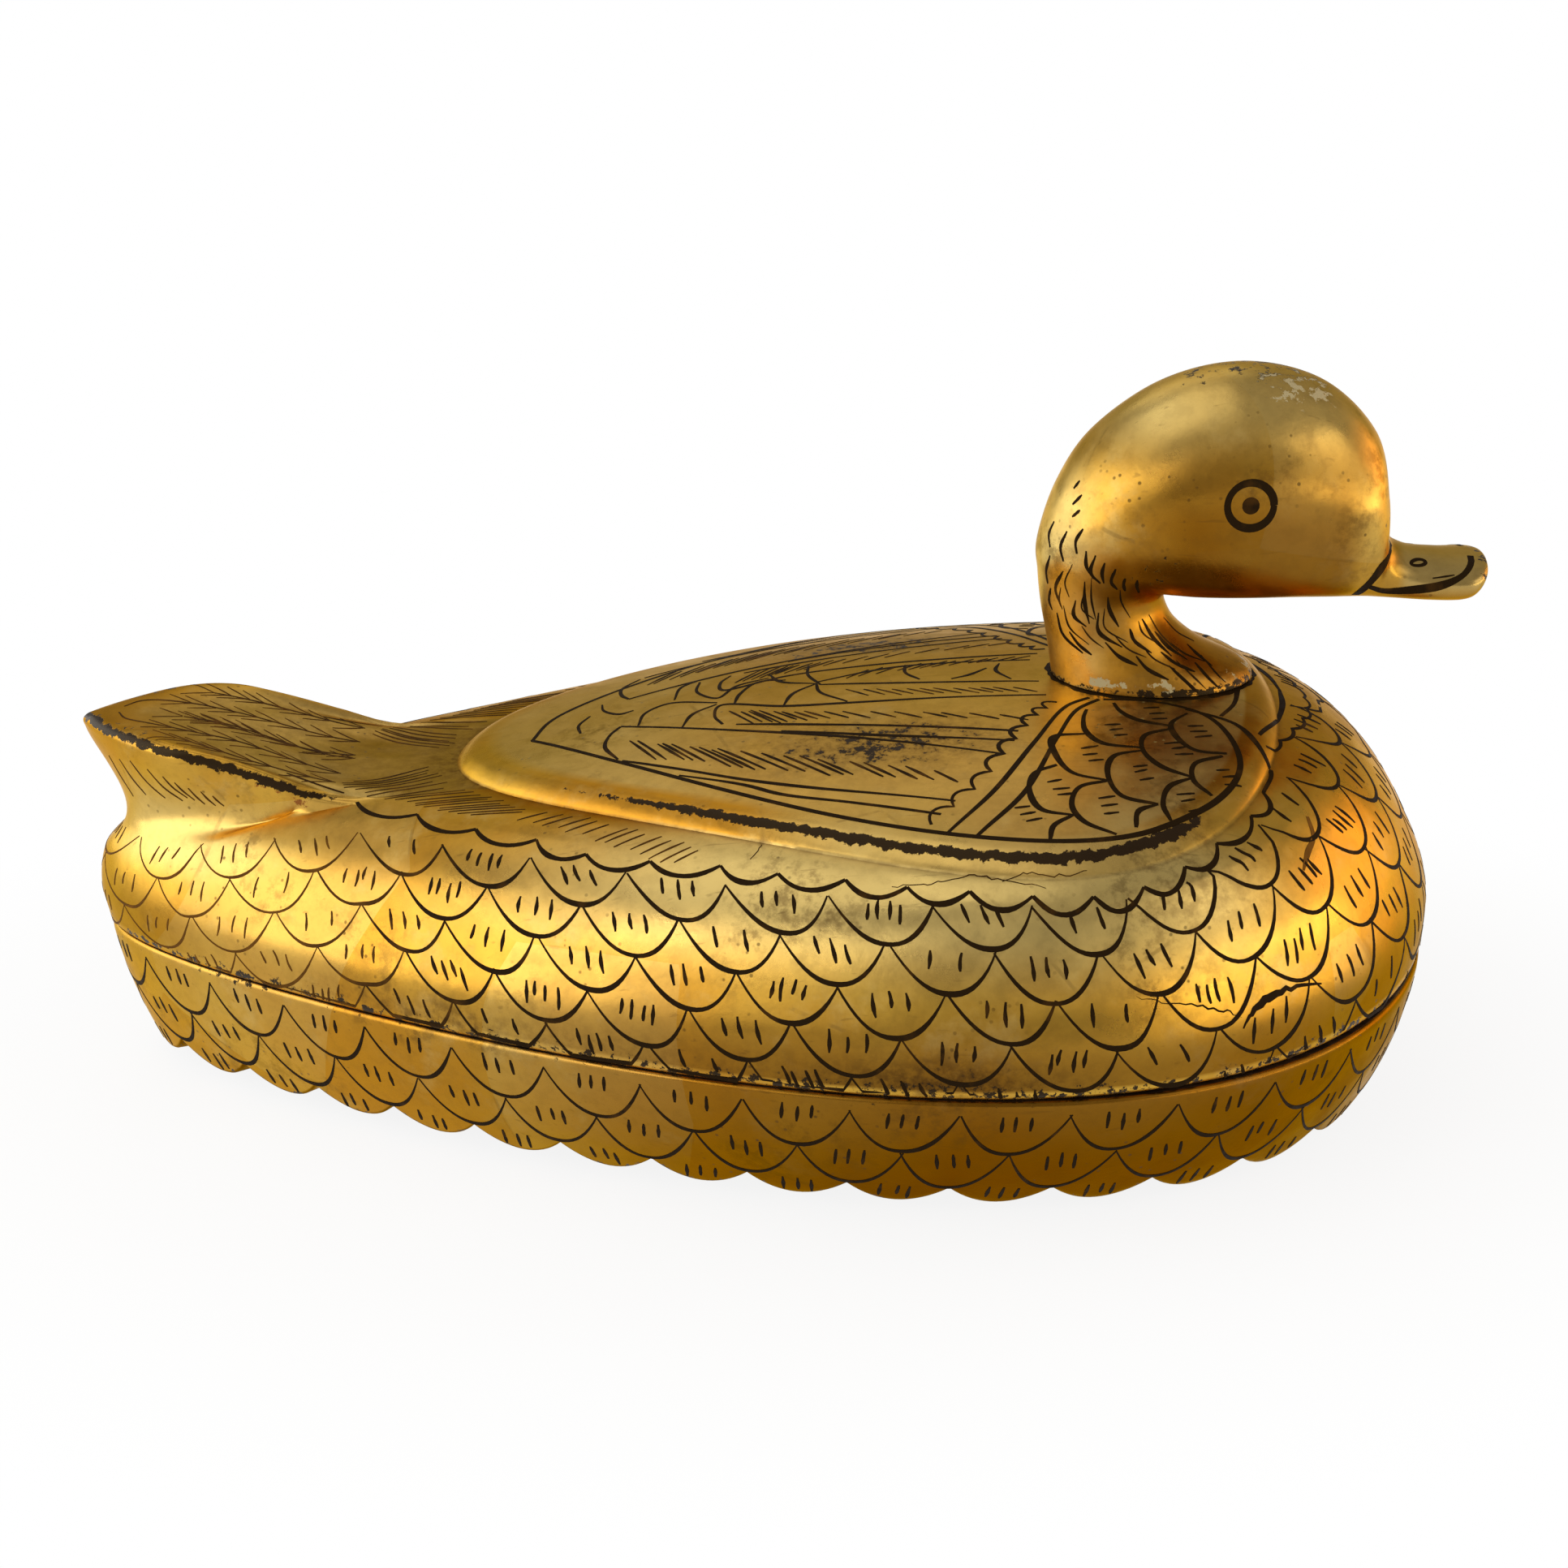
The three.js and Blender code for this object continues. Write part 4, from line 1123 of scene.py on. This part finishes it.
def draw_lid_feathers():
    strokes = Ink()
    for row in range(LID_ROWS):
        for k in range(FEATHERS):
            middle = k + LID_PHASE + 0.5 * (row % 2) + rng.uniform(-0.03, 0.03)
            dry = dryness(middle)
            p, rows = scallop(middle, row + rng.uniform(-0.03, 0.03), rng.uniform(0.97, 1.05))
            widths = swelling(len(p), lerp(*EDGE_WIDTHS, dry), rng.uniform(0.5, 0.75))
            lid_stroke(strokes, p, rows, widths, BROWNEST * dry)
            lean = rng.uniform(-0.07, 0.06)
            s = np.linspace(-0.5, 0.5, 7)
            for place in np.linspace(-0.16, 0.16, rng.choice((2, 3, 3, 3, 3, 4))):
                top = row + rng.uniform(-0.02, 0.13)
                rows = np.linspace(top, top + rng.uniform(0.34, 0.55), 7)
                p = middle + place + rng.uniform(-0.02, 0.02) + lean * s
                p = p + rng.uniform(-0.012, 0.012) * (1 - 4 * s * s)
                lid_stroke(strokes, p, rows, swelling(7, lerp(*TICK_WIDTHS, dry), 0.6, 0.45), BROWNEST * dry)
    strokes.make("lid_feathers", "lid")


BASE_EVEN = even_angles(EVEN_COUNT, lambda t: bowl(t, BASE_DEPTH))
BASE_ROW = 11.0
BASE_FIRST = 3.2


def base_stroke(strokes, p, depth, widths):
    t = around(BASE_EVEN, p)
    points = base_point(t, depth)
    strokes.ribbon(points, -normals_of(base_point, t, depth, points), widths)


def draw_base_feathers():
    strokes = Ink()
    for row in range(3):
        for k in range(SCALLOPS):
            middle = k + 0.5 * ((row + 1) % 2) + rng.uniform(-0.02, 0.02)
            first = BASE_FIRST + BASE_ROW * row
            if row < 2:
                p, rows = scallop(middle, 0.0, 1.0)
                width = swelling(len(p), 0.95, rng.uniform(0.5, 0.75))
                base_stroke(strokes, p, first + BASE_ROW * rows * rng.uniform(0.94, 0.99), width)
            lean = rng.uniform(-0.02, 0.03)
            for place in (-0.14, 0.0, 0.14):
                top = first + rng.uniform(-0.6, 0.6)
                depth = np.linspace(top, top + rng.uniform(3.2, 4.6), 5)
                p = middle + place + lean * np.linspace(-0.5, 0.5, 5) + rng.uniform(-0.02, 0.02)
                base_stroke(strokes, p, depth, swelling(5, 0.8, 0.6, 0.5))
    strokes.make("base_feathers", "base")


# Drawing on the back, tail and head. Each line is given by the few places that it passes through.
def eased_line(places, shares):
    return eased(np.array(places, float)[:, None, :], shares)


def line_through(places, step=1.0):
    """A line eased through some places, in steps of about the given length."""
    length = np.linalg.norm(np.diff(np.array(places, float), axis=0), axis=1).sum()
    return eased_line(places, np.linspace(0, 1, max(4, round(length / step) + 1)))


def hatching(starts, ends, count, bow=0.0):
    """Strokes side by side, each from a place on one line to a place on another."""
    shares = np.linspace(0, 1, count)
    shares[1:-1] += rng.uniform(-0.3, 0.3, count - 2) / count
    for a, b in zip(eased_line(starts, shares), eased_line(ends, shares)):
        a, b = lerp(a, b, rng.uniform(-0.08, 0.1)), lerp(b, a, rng.uniform(-0.08, 0.12))
        across = np.array([a[1] - b[1], b[0] - a[0]])
        yield line_through([a, (a + b) / 2 + bow * across, b])


def bumpy(places, bumps, depth):
    """A line made of equal bumps to its left, between cusps."""
    shares = np.linspace(0, 1, bumps * 8 + 1)
    line = eased_line(places, shares)
    along = np.gradient(line, axis=0)
    left = np.stack([-along[:, 1], along[:, 0]], -1)
    left /= np.linalg.norm(left, axis=1, keepdims=True)
    round_out = 1 - np.abs(2 * np.mod(shares * bumps, 1) - 1) ** 2.2
    return line + depth * left * round_out[:, None]


# Plan places on the duck's right wing
WING_EDGE = [
    (-48, -8), (-27, -27), (-3, -45), (20, -58), (42, -66), (62, -69.5), (75, -69), (84, -66), (96, -57),
    (102, -46), (101, -32), (97, -24), (88, -18.5), (77, -17),
]
BAND_REAR = [(42, -66), (52, -53), (61, -36), (69, -20), (74, -16)]
BAND_FRONT = [(48, -67), (58, -54), (66, -34), (71, -22), (76, -17)]
FEATHER_TIPS = [(67, -18), (62, -25), (56, -37), (49, -51), (39, -63)]
PRIMARIES = [
    [(-28, -9), (-30, -13), (-30.5, -19), (-27, -26)],
    [(-28, -9), (-2, -20), (20, -28), (54, -40)],
    [(8, -23), (28, -29), (57, -35)],
    [(-2, -17), (17, -22), (58, -31)],
    [(-26, -27), (-12, -35), (1, -42), (16, -48), (44, -56)],
    [(-13, -37), (1, -44), (9, -49), (23, -54), (41, -60)],
    [(-5, -16), (-7, -11), (-6, -5), (8, -10), (24, -12), (45, -13), (65, -14)],
]
# Feathers along the middle of the back, and the lines at their sides
BACK_FEATHERS = [
    [(16, 1), (37, -3), (64, -6)], [(15, 3), (33, 9), (63, 9)], [(-14, -15), (-12, -8), (-7, -4)],
    [(-24, -10), (-23, -3), (-18, 1), (-7, -3)], [(-17, 3), (-16, 12), (-12, 16)],
    [(-12, 14), (-12, 6), (-7, 0), (-3, 7), (4, 10)], [(-3, -5), (-2, 1), (2, 8), (8, 7)],
    [(8, -10), (10, -3), (15, 2)], [(13, 17), (13, 9), (16, 1)], [(15, 2), (16, -4), (22, -11)],
    [(4, 13), (7, 6), (15, 2)],
    [(35, 10), (35, 4), (38, -1)], [(45, -2), (49, 0), (53, 4)], [(56, 7), (55, 2), (58, -4)],
    [(-37, -9), (-38, -4), (-36, 1)], [(-34, 8), (-33, 3), (-29, -1), (-26, 0)],
]
LOBE_FEATHERS = [
    [(73, -22), (72, -26), (72, -32), (75, -37), (83, -39)],
    [(72, -33), (65, -34), (65, -41), (68, -48), (75, -51)],
    [(83, -40), (77, -42), (75, -48), (77, -56), (84, -59)],
    [(90, -31), (84, -34), (83, -40), (86, -46), (92, -50)],
    [(94, -24), (90, -29), (91, -36), (94, -40), (100, -41)], [(79, -19), (80, -23), (83, -27), (90, -30)],
    [(65, -45), (60, -48), (59, -55), (61, -60), (67, -62)],
    [(75, -51), (69, -53), (67, -59), (69, -64), (75, -68)],
    [(92, -50), (87, -53), (85, -59), (86, -64)], [(99, -42), (93, -45), (92, -51), (95, -56)],
    [(84, -59), (80, -61), (79, -66)], [(67, -62), (63, -65), (62, -69)],
]
LOBE_DASHES = [
    (76, -29), (70, -39), (80, -46), (88, -37), (93, -30), (63, -51), (72, -57), (56, -59), (88, -56),
    (97, -47), (85, -22),
]
BORDER = [
    (-84.5, -24.4), (-69.8, -32.8), (-55.8, -41.6), (-42, -48.6), (-31, -55.4), (-17.4, -60.7), (-2.9, -65.2),
    (8.7, -69.4), (22, -73.1), (34, -76.4), (46, -78.6), (58, -80.3), (69.6, -80.4), (79.4, -78.1),
    (87.8, -73.2), (94.7, -66.7), (102.7, -57.7), (106.3, -49.8),
]
BORDER_SAG = 2.6
COLLAR = [
    [(94, -22), (103, -28), (106.5, -35), (109, -42), (106.3, -49.8)],
    [(101, -25), (104.5, -19), (106.5, -10), (107, 0)],
    [(108, -32), (112.5, -23), (116.5, -10), (117.5, 0)],
]
COLLAR_EDGE = [(123, 0), (121, -12), (115.5, -24), (109, -35)]


def draw_wings():
    strokes = Ink()
    # The two wing fields share the point at the rear, which lies on the right wing.
    far_edge = [(-48, 8), (-44.5, -4), (-27, -22), (-3, -42), *WING_EDGE[3:]]
    for side, edge in ((NEAR, WING_EDGE), (FAR, far_edge)):
        strokes.through([edge], 1.3, side, ends=0.6)
        strokes.through([BAND_REAR, BAND_FRONT], 1.05, side, ends=0.7)
        strokes.on_back(bumpy(FEATHER_TIPS, 9, -2.4), 0.85, side, ends=0.8)
        strokes.through(PRIMARIES, 0.9, side, ends=0.6)
        panels = [
            ([(-25, -18), (-1, -30), (40, -45)], [(-19, -28), (10, -41), (45, -50)], 19, 0.7),
            ([(-4, -9), (12, -14), (54, -23)], [(2, -18), (18, -19.5), (60, -26)], 17, 0.6),
            ([(22, -4), (40, -7), (58, -9)], [(27, -9), (46, -11), (63, -12)], 12, 0.5),
        ]
        for starts, ends, count, width in panels:
            strokes.hatch(starts, ends, count, width, side, 0.2)
        strokes.through(LOBE_FEATHERS, 1.25, side)
        for x, y in LOBE_DASHES:
            for k in range(3):
                start = np.array([x + 0.7 * k, y - 2.4 * k]) + rng.uniform(-0.4, 0.4, 2)
                end = start + [rng.uniform(2.6, 3.8), rng.uniform(0.2, 1.0)]
                strokes.through([[start, end]], 0.7, side)
        strokes.through(COLLAR, 1.25, side, ends=0.6)
        strokes.on_back(bumpy(COLLAR_EDGE, 5, 1.2), 0.8, side, ends=0.8)
        for a, b in zip(np.array(BORDER), np.array(BORDER[1:])):
            s = np.linspace(0, 1, 12)[:, None]
            outward = np.array([b[1] - a[1], a[0] - b[0]]) / np.linalg.norm(b - a)
            sag = lerp(a, b, s) + outward * BORDER_SAG * (1 - np.abs(2 * s - 1) ** 2.2)
            strokes.on_back(sag, 1.15, side, ends=0.6)
    strokes.through(BACK_FEATHERS, 0.85)
    strokes.make("wing_drawing", "lid")


# Strokes on the saddle behind the wings and on the plain band beside them, on the duck's right
SADDLE_STARTS = [(-89, -15), (-86, -20), (-77, -25), (-67, -31), (-59, -36)]
SADDLE_ENDS = [(-70, -5), (-69, -13), (-60, -24), (-51, -32), (-45, -38)]
BESIDE_STARTS = [(-47, -41), (-34, -49), (-23, -56.5), (-13, -62.5)]
BESIDE_ENDS = [(-40, -39), (-27.5, -46.5), (-16.5, -54), (-7, -60)]
# Shafts of the tail's feathers on its right half, a line at its root, and the hatching of its wall as length
# and height
TAIL_SHAFTS = [
    [(-142, -2), (-139, -6), (-128, -8), (-112, -8), (-91, -10)],
    [(-128, 0), (-112, 0.5), (-90, -1)],
    [(-125, -15), (-112, -16.5), (-91, -17)],
]
TAIL_ROOT = [(-101, -18), (-88, -21)]
WALL_STARTS = [(-144, 76), (-134, 77), (-124, 73.5), (-117, 71)]
WALL_ENDS = [(-138.5, 66.5), (-126, 69), (-120.5, 69), (-114.5, 68.5)]


def draw_tail():
    strokes = Ink()
    for side in (NEAR, FAR):
        strokes.hatch(SADDLE_STARTS, SADDLE_ENDS, 19, 0.45, side, 0.4)
        strokes.hatch(BESIDE_STARTS, BESIDE_ENDS, 14, 0.45, side, 0.4)
        for shaft in TAIL_SHAFTS:
            strokes.through([shaft], 0.5, side, 0.4, 0.6)
            for slant in (-3.0, 3.0):
                tips = np.array(shaft) + [-6.5, slant]
                strokes.hatch(shaft[-3:], tips[-3:], 8, 0.32, side, 0.55)
        strokes.through([TAIL_ROOT], 0.6, side, 0.3)
        for line in hatching(WALL_STARTS, WALL_ENDS, 9, -0.06):
            strokes.on_side(lid_surface, line, 0.4, side, 0.5)
    strokes.make("tail_drawing", "lid")


# Head places are length and height, as seen from the side.
EYE = np.array([105.3, 133.8])
EYE_RADIUS, EYE_LINE, PUPIL_RADIUS = 4.75, 1.6, 1.8
NOSTRIL = np.array([143.8, 117.0])
MOUTH = [
    (132.9, 113.3), (136.8, 111.6), (145.7, 112.5), (150.1, 113.9), (153.6, 115.7), (155.6, 117.6),
    (154.4, 119.2),
]
BILL_LINES = [
    ([(138, 121), (135.5, 118.3), (132.7, 114.7), (130.2, 111.2)], 2.4),
    (MOUTH, 1.7),
    ([(146.3, 114.5), (150.9, 115.1)], 0.4),
]
NAPE = [
    [(71.9, 127.3), (70.5, 124.3), (70.8, 121.7)], [(72.6, 122.7), (72.8, 119.2), (74.4, 116.5)],
    [(74.5, 122), (73.7, 117.9), (75.8, 115.5)], [(76.4, 120.5), (76, 118), (76.5, 115.6)],
    [(78.7, 119.2), (78, 116), (79.4, 114.1)], [(80.8, 117), (80.6, 115.4), (81.1, 113.7)],
    [(83.3, 116.7), (83.4, 115), (84.1, 113.1)], [(71.4, 136.4), (70.2, 134.6)],
    [(71.7, 133.9), (69.9, 131.6)],
    [(71.3, 130.9), (69.8, 129.2)], [(66.4, 127), (65.4, 124), (65.6, 121.5)],
    [(65.6, 119.8), (65, 116), (65.4, 113)], [(68.8, 126), (67.6, 122.4), (68.2, 119.4)],
]
NECK = [
    [(72.6, 115.6), (72.9, 110.3), (74, 105.7)], [(68.2, 117.2), (66.9, 112.6), (67.9, 109.3)],
    [(66, 112.2), (65.8, 109.1), (66.5, 107.2)], [(71, 110.8), (70.8, 107.1), (73.4, 105)],
    [(67.4, 106.9), (68.8, 102.1), (72.9, 98.8)], [(70, 103.2), (71.9, 100.7), (74.7, 98.7)],
    [(75.8, 108.4), (76, 104.1), (81, 100.8)], [(77.6, 112.1), (78.1, 109.1), (80.2, 105.2)],
    [(77.4, 101.8), (80.3, 98.9), (84.3, 97)], [(82.6, 104.7), (83.6, 102.1), (87.4, 99.3)],
    [(85.3, 106.4), (87.8, 102.2), (91.8, 98.2)], [(84, 98.9), (86.3, 96.4), (90.9, 94.1)],
    [(88.2, 103.3), (91.2, 99.9), (95.3, 97.1)], [(89.4, 99.3), (92.4, 97), (96.8, 95)],
    [(91, 96.7), (94.9, 93.3), (97.3, 91)], [(95.7, 99.3), (97.7, 97.5), (100.9, 95.2)],
    [(97, 96.4), (99.8, 93.5), (102, 91.4)],
]


def draw_head():
    strokes = Ink()
    circle = egg(np.linspace(0, TURN, 41), 0.0, 1.0, 1.0)
    for side in (NEAR, FAR):
        strokes.on_side(head_surface, EYE + EYE_RADIUS * circle, EYE_LINE, side, ends=0.9)
        across = np.linspace(-0.97, 0.97, 15)
        line = EYE + PUPIL_RADIUS * np.stack([across, 0 * across], -1)
        points, normals = landed(head_surface, seen_from(side, line), (0, -side, 0))
        strokes.ribbon(points, normals, 2 * PUPIL_RADIUS * np.sqrt(1 - across**2))
        strokes.on_side(head_surface, NOSTRIL + circle * [1.6, 0.42], 0.85, side, ends=0.9)
        for places, width in BILL_LINES:
            strokes.on_side(head_surface, line_through(places), width, side, ends=0.7)
        for places in NAPE:
            strokes.on_side(head_surface, line_through(places, 0.6), 0.75, side)
        for places in NECK:
            line = line_through(places, 0.8)
            strokes.on_side(head_surface, line, 0.85, side, 0.05, 0.3)
            finer = line + rng.uniform((1.2, 0.4), (2.6, 2.2))
            strokes.on_side(head_surface, finer, 0.42, side, 0.2, 0.3)
    strokes.make("head_drawing", "lid")


# Damage on the right side: hairline cracks as length and height, the chip at the breast, and the glue line
CRACKS = [
    ([(77.6, 55.1), (83.1, 53.5), (89.6, 51.9), (95.3, 50.1), (98.6, 48.6)], 0.35),
    ([(99, 46), (101.1, 49.1), (104.6, 50.9), (109.3, 51.3), (115.8, 50.1)], 1.5),
]
BACK_CRACKS = [
    [(31.2, -75.9), (37.2, -76.3), (42.2, -75.7), (46.9, -75), (52.3, -76.7), (60.8, -78.7)],
    [(52.3, -76.7), (57.1, -75.8), (62.5, -76.6), (68.8, -76)],
    [(5.4, -60.5), (4.6, -62), (3.1, -65)],
]
DRIP = [(115, -52), (115.7, -55.7), (114, -59.8), (112.6, -63.6)]


def draw_damage():
    strokes = Ink()
    for places, width in CRACKS:
        line = line_through(places)
        line[:, 1] += rng.uniform(-0.35, 0.35, len(line))
        strokes.on_side(lid_surface, line, width, ends=0.2)
    for places in BACK_CRACKS:
        line = line_through(places)
        line += rng.uniform(-0.3, 0.3, line.shape)
        strokes.on_back(line, 0.22, thin=0.3)
    strokes.through([DRIP], 1.3, thin=0.95)
    turn = np.linspace(0, TURN, 181)
    foot = egg(turn, NECK_X, FOOT_HALF_LENGTH + 0.4, FOOT_HALF_WIDTH + 0.4)
    points, normals = landed(lid_surface, at(foot, SIGHT_ABOVE), (0, 0, -1))
    uneven = np.sin(5 * turn) + np.sin(13 * turn + 1) + 0.7 * np.sin(31 * turn + 2)
    strokes.ribbon(points, normals, 1.3 + 0.45 * uneven)
    strokes.make("cracks_and_glue_line", "lid")


draw_lid_feathers()
draw_base_feathers()
draw_wings()
draw_tail()
draw_head()
draw_damage()


# Stage: pale floor, soft light and a camera at the photograph's angle
FLOOR_REACH = 30.0
SHADOW_LENGTH, SHADOW_WIDTH = 0.17, 0.11


def make_floor():
    """White paper, plain white to the eye and in reflections except near the box, where its shadow shows."""
    corners = [(x * FLOOR_REACH, y * FLOOR_REACH, 0) for x, y in ((-1, -1), (1, -1), (1, 1), (-1, 1))]
    mesh = bpy.data.meshes.new("floor")
    mesh.from_pydata(corners, [], [(0, 1, 2, 3)])
    paper = Finish("floor_paper", 0.9)
    paper.set("Base Color", paper.mix(paper.noise(6.0), (0.86, 0.86, 0.86, 1), (0.9, 0.9, 0.895, 1)))
    rays = paper.add("ShaderNodeLightPath").outputs
    seen = paper.math("ADD", rays["Is Camera Ray"], rays["Is Glossy Ray"])
    seen = paper.math("ADD", seen, rays["Is Transmission Ray"], clamp=True)
    spread = paper.stretched((1 / SHADOW_LENGTH, 1 / SHADOW_WIDTH, 0.0))
    away = paper.add("ShaderNodeVectorMath", {0: spread}, operation="LENGTH").outputs["Value"]
    white = paper.math("MULTIPLY", seen, paper.remap(away, 0.8, 1.7, 0.87, 1.0))
    plain = paper.add("ShaderNodeEmission", {"Color": (1, 1, 1, 1), "Strength": 1.0}).outputs[0]
    surface = paper.add("ShaderNodeMixShader", {0: white, 1: paper.shader.outputs[0], 2: plain}).outputs[0]
    paper.feed(paper.tree.nodes["Material Output"].inputs["Surface"], surface)
    mesh.materials.append(paper.material)
    floor = bpy.data.objects.new("floor", mesh)
    bpy.context.scene.collection.objects.link(floor)


# Each lamp's place, width and height in metres, power in watts and colour; all face the middle of the box.
LIT_PLACE = Vector((0.0, 0.0, 0.07))
LAMPS = {
    "left": ((-1.05, -0.32, 0.4), (1.3, 1.0), 9.6, (1.0, 0.98, 0.92)),
    "rear_left": ((-0.95, 0.5, 0.28), (0.5, 0.4), 1.1, (1.0, 0.98, 0.92)),
    "back": ((-0.1, 0.95, 1.0), (0.8, 0.5), 0.78, (1.0, 0.97, 0.92)),
    "front_left": ((-0.68, -0.95, 0.62), (0.8, 0.6), 2.2, (1.0, 0.98, 0.95)),
    "overhead": ((-0.36, 0.0, 1.3), (1.2, 0.9), 2.9, (1.0, 0.99, 0.97)),
    "right_strip": ((0.9, -0.45, 0.13), (1.1, 0.15), 2.7, (1.0, 0.88, 0.6)),
    "right": ((0.88, -0.48, 0.62), (0.7, 0.5), 1.9, (1.0, 0.92, 0.78)),
    "right_glow": ((1.0, 0.28, 0.24), (0.6, 0.45), 2.0, (1.0, 0.55, 0.28)),
}


def make_light():
    world = bpy.data.worlds.new("studio")
    world.use_nodes = True
    background = world.node_tree.nodes["Background"]
    background.inputs["Color"].default_value = (1.0, 0.97, 0.92, 1)
    background.inputs["Strength"].default_value = 0.4
    bpy.context.scene.world = world
    for name, (place, size, power, colour) in LAMPS.items():
        light = bpy.data.lights.new(name, "AREA")
        light.shape = "RECTANGLE"
        light.size, light.size_y = size
        light.energy = power
        light.color = colour
        lamp = bpy.data.objects.new(name, light)
        lamp.location = place
        lamp.rotation_euler = (LIT_PLACE - Vector(place)).to_track_quat("-Z", "Y").to_euler()
        bpy.context.scene.collection.objects.link(lamp)


PHOTO_SIZE = 1932.0
PHOTO_FOCAL = 2828.0
CAMERA_DISTANCE = 0.520
CAMERA_TARGET = Vector((0.00737, 0.0, 0.06446))
CAMERA_AZIMUTH = math.radians(2.40)
CAMERA_ELEVATION = math.radians(21.75)
CAMERA_ROLL = math.radians(-1.33)


def make_camera():
    a, e = CAMERA_AZIMUTH, CAMERA_ELEVATION
    back = Vector((math.sin(a) * math.cos(e), -math.cos(a) * math.cos(e), math.sin(e)))
    right = Vector((math.cos(a), math.sin(a), 0))
    up = back.cross(right)
    turned_right = right * math.cos(CAMERA_ROLL) + up * math.sin(CAMERA_ROLL)
    turned_up = up * math.cos(CAMERA_ROLL) - right * math.sin(CAMERA_ROLL)
    data = bpy.data.cameras.new("camera")
    data.sensor_width = 36.0
    data.lens = PHOTO_FOCAL / PHOTO_SIZE * data.sensor_width
    data.clip_start, data.clip_end = 0.01, 100
    camera = bpy.data.objects.new("camera", data)
    axes = Matrix((turned_right, turned_up, back)).transposed().to_4x4()
    camera.matrix_world = Matrix.Translation(CAMERA_TARGET + back * CAMERA_DISTANCE) @ axes
    bpy.context.scene.collection.objects.link(camera)
    bpy.context.scene.camera = camera


make_floor()
make_light()
make_camera()
bpy.context.scene.view_settings.view_transform = "Standard"
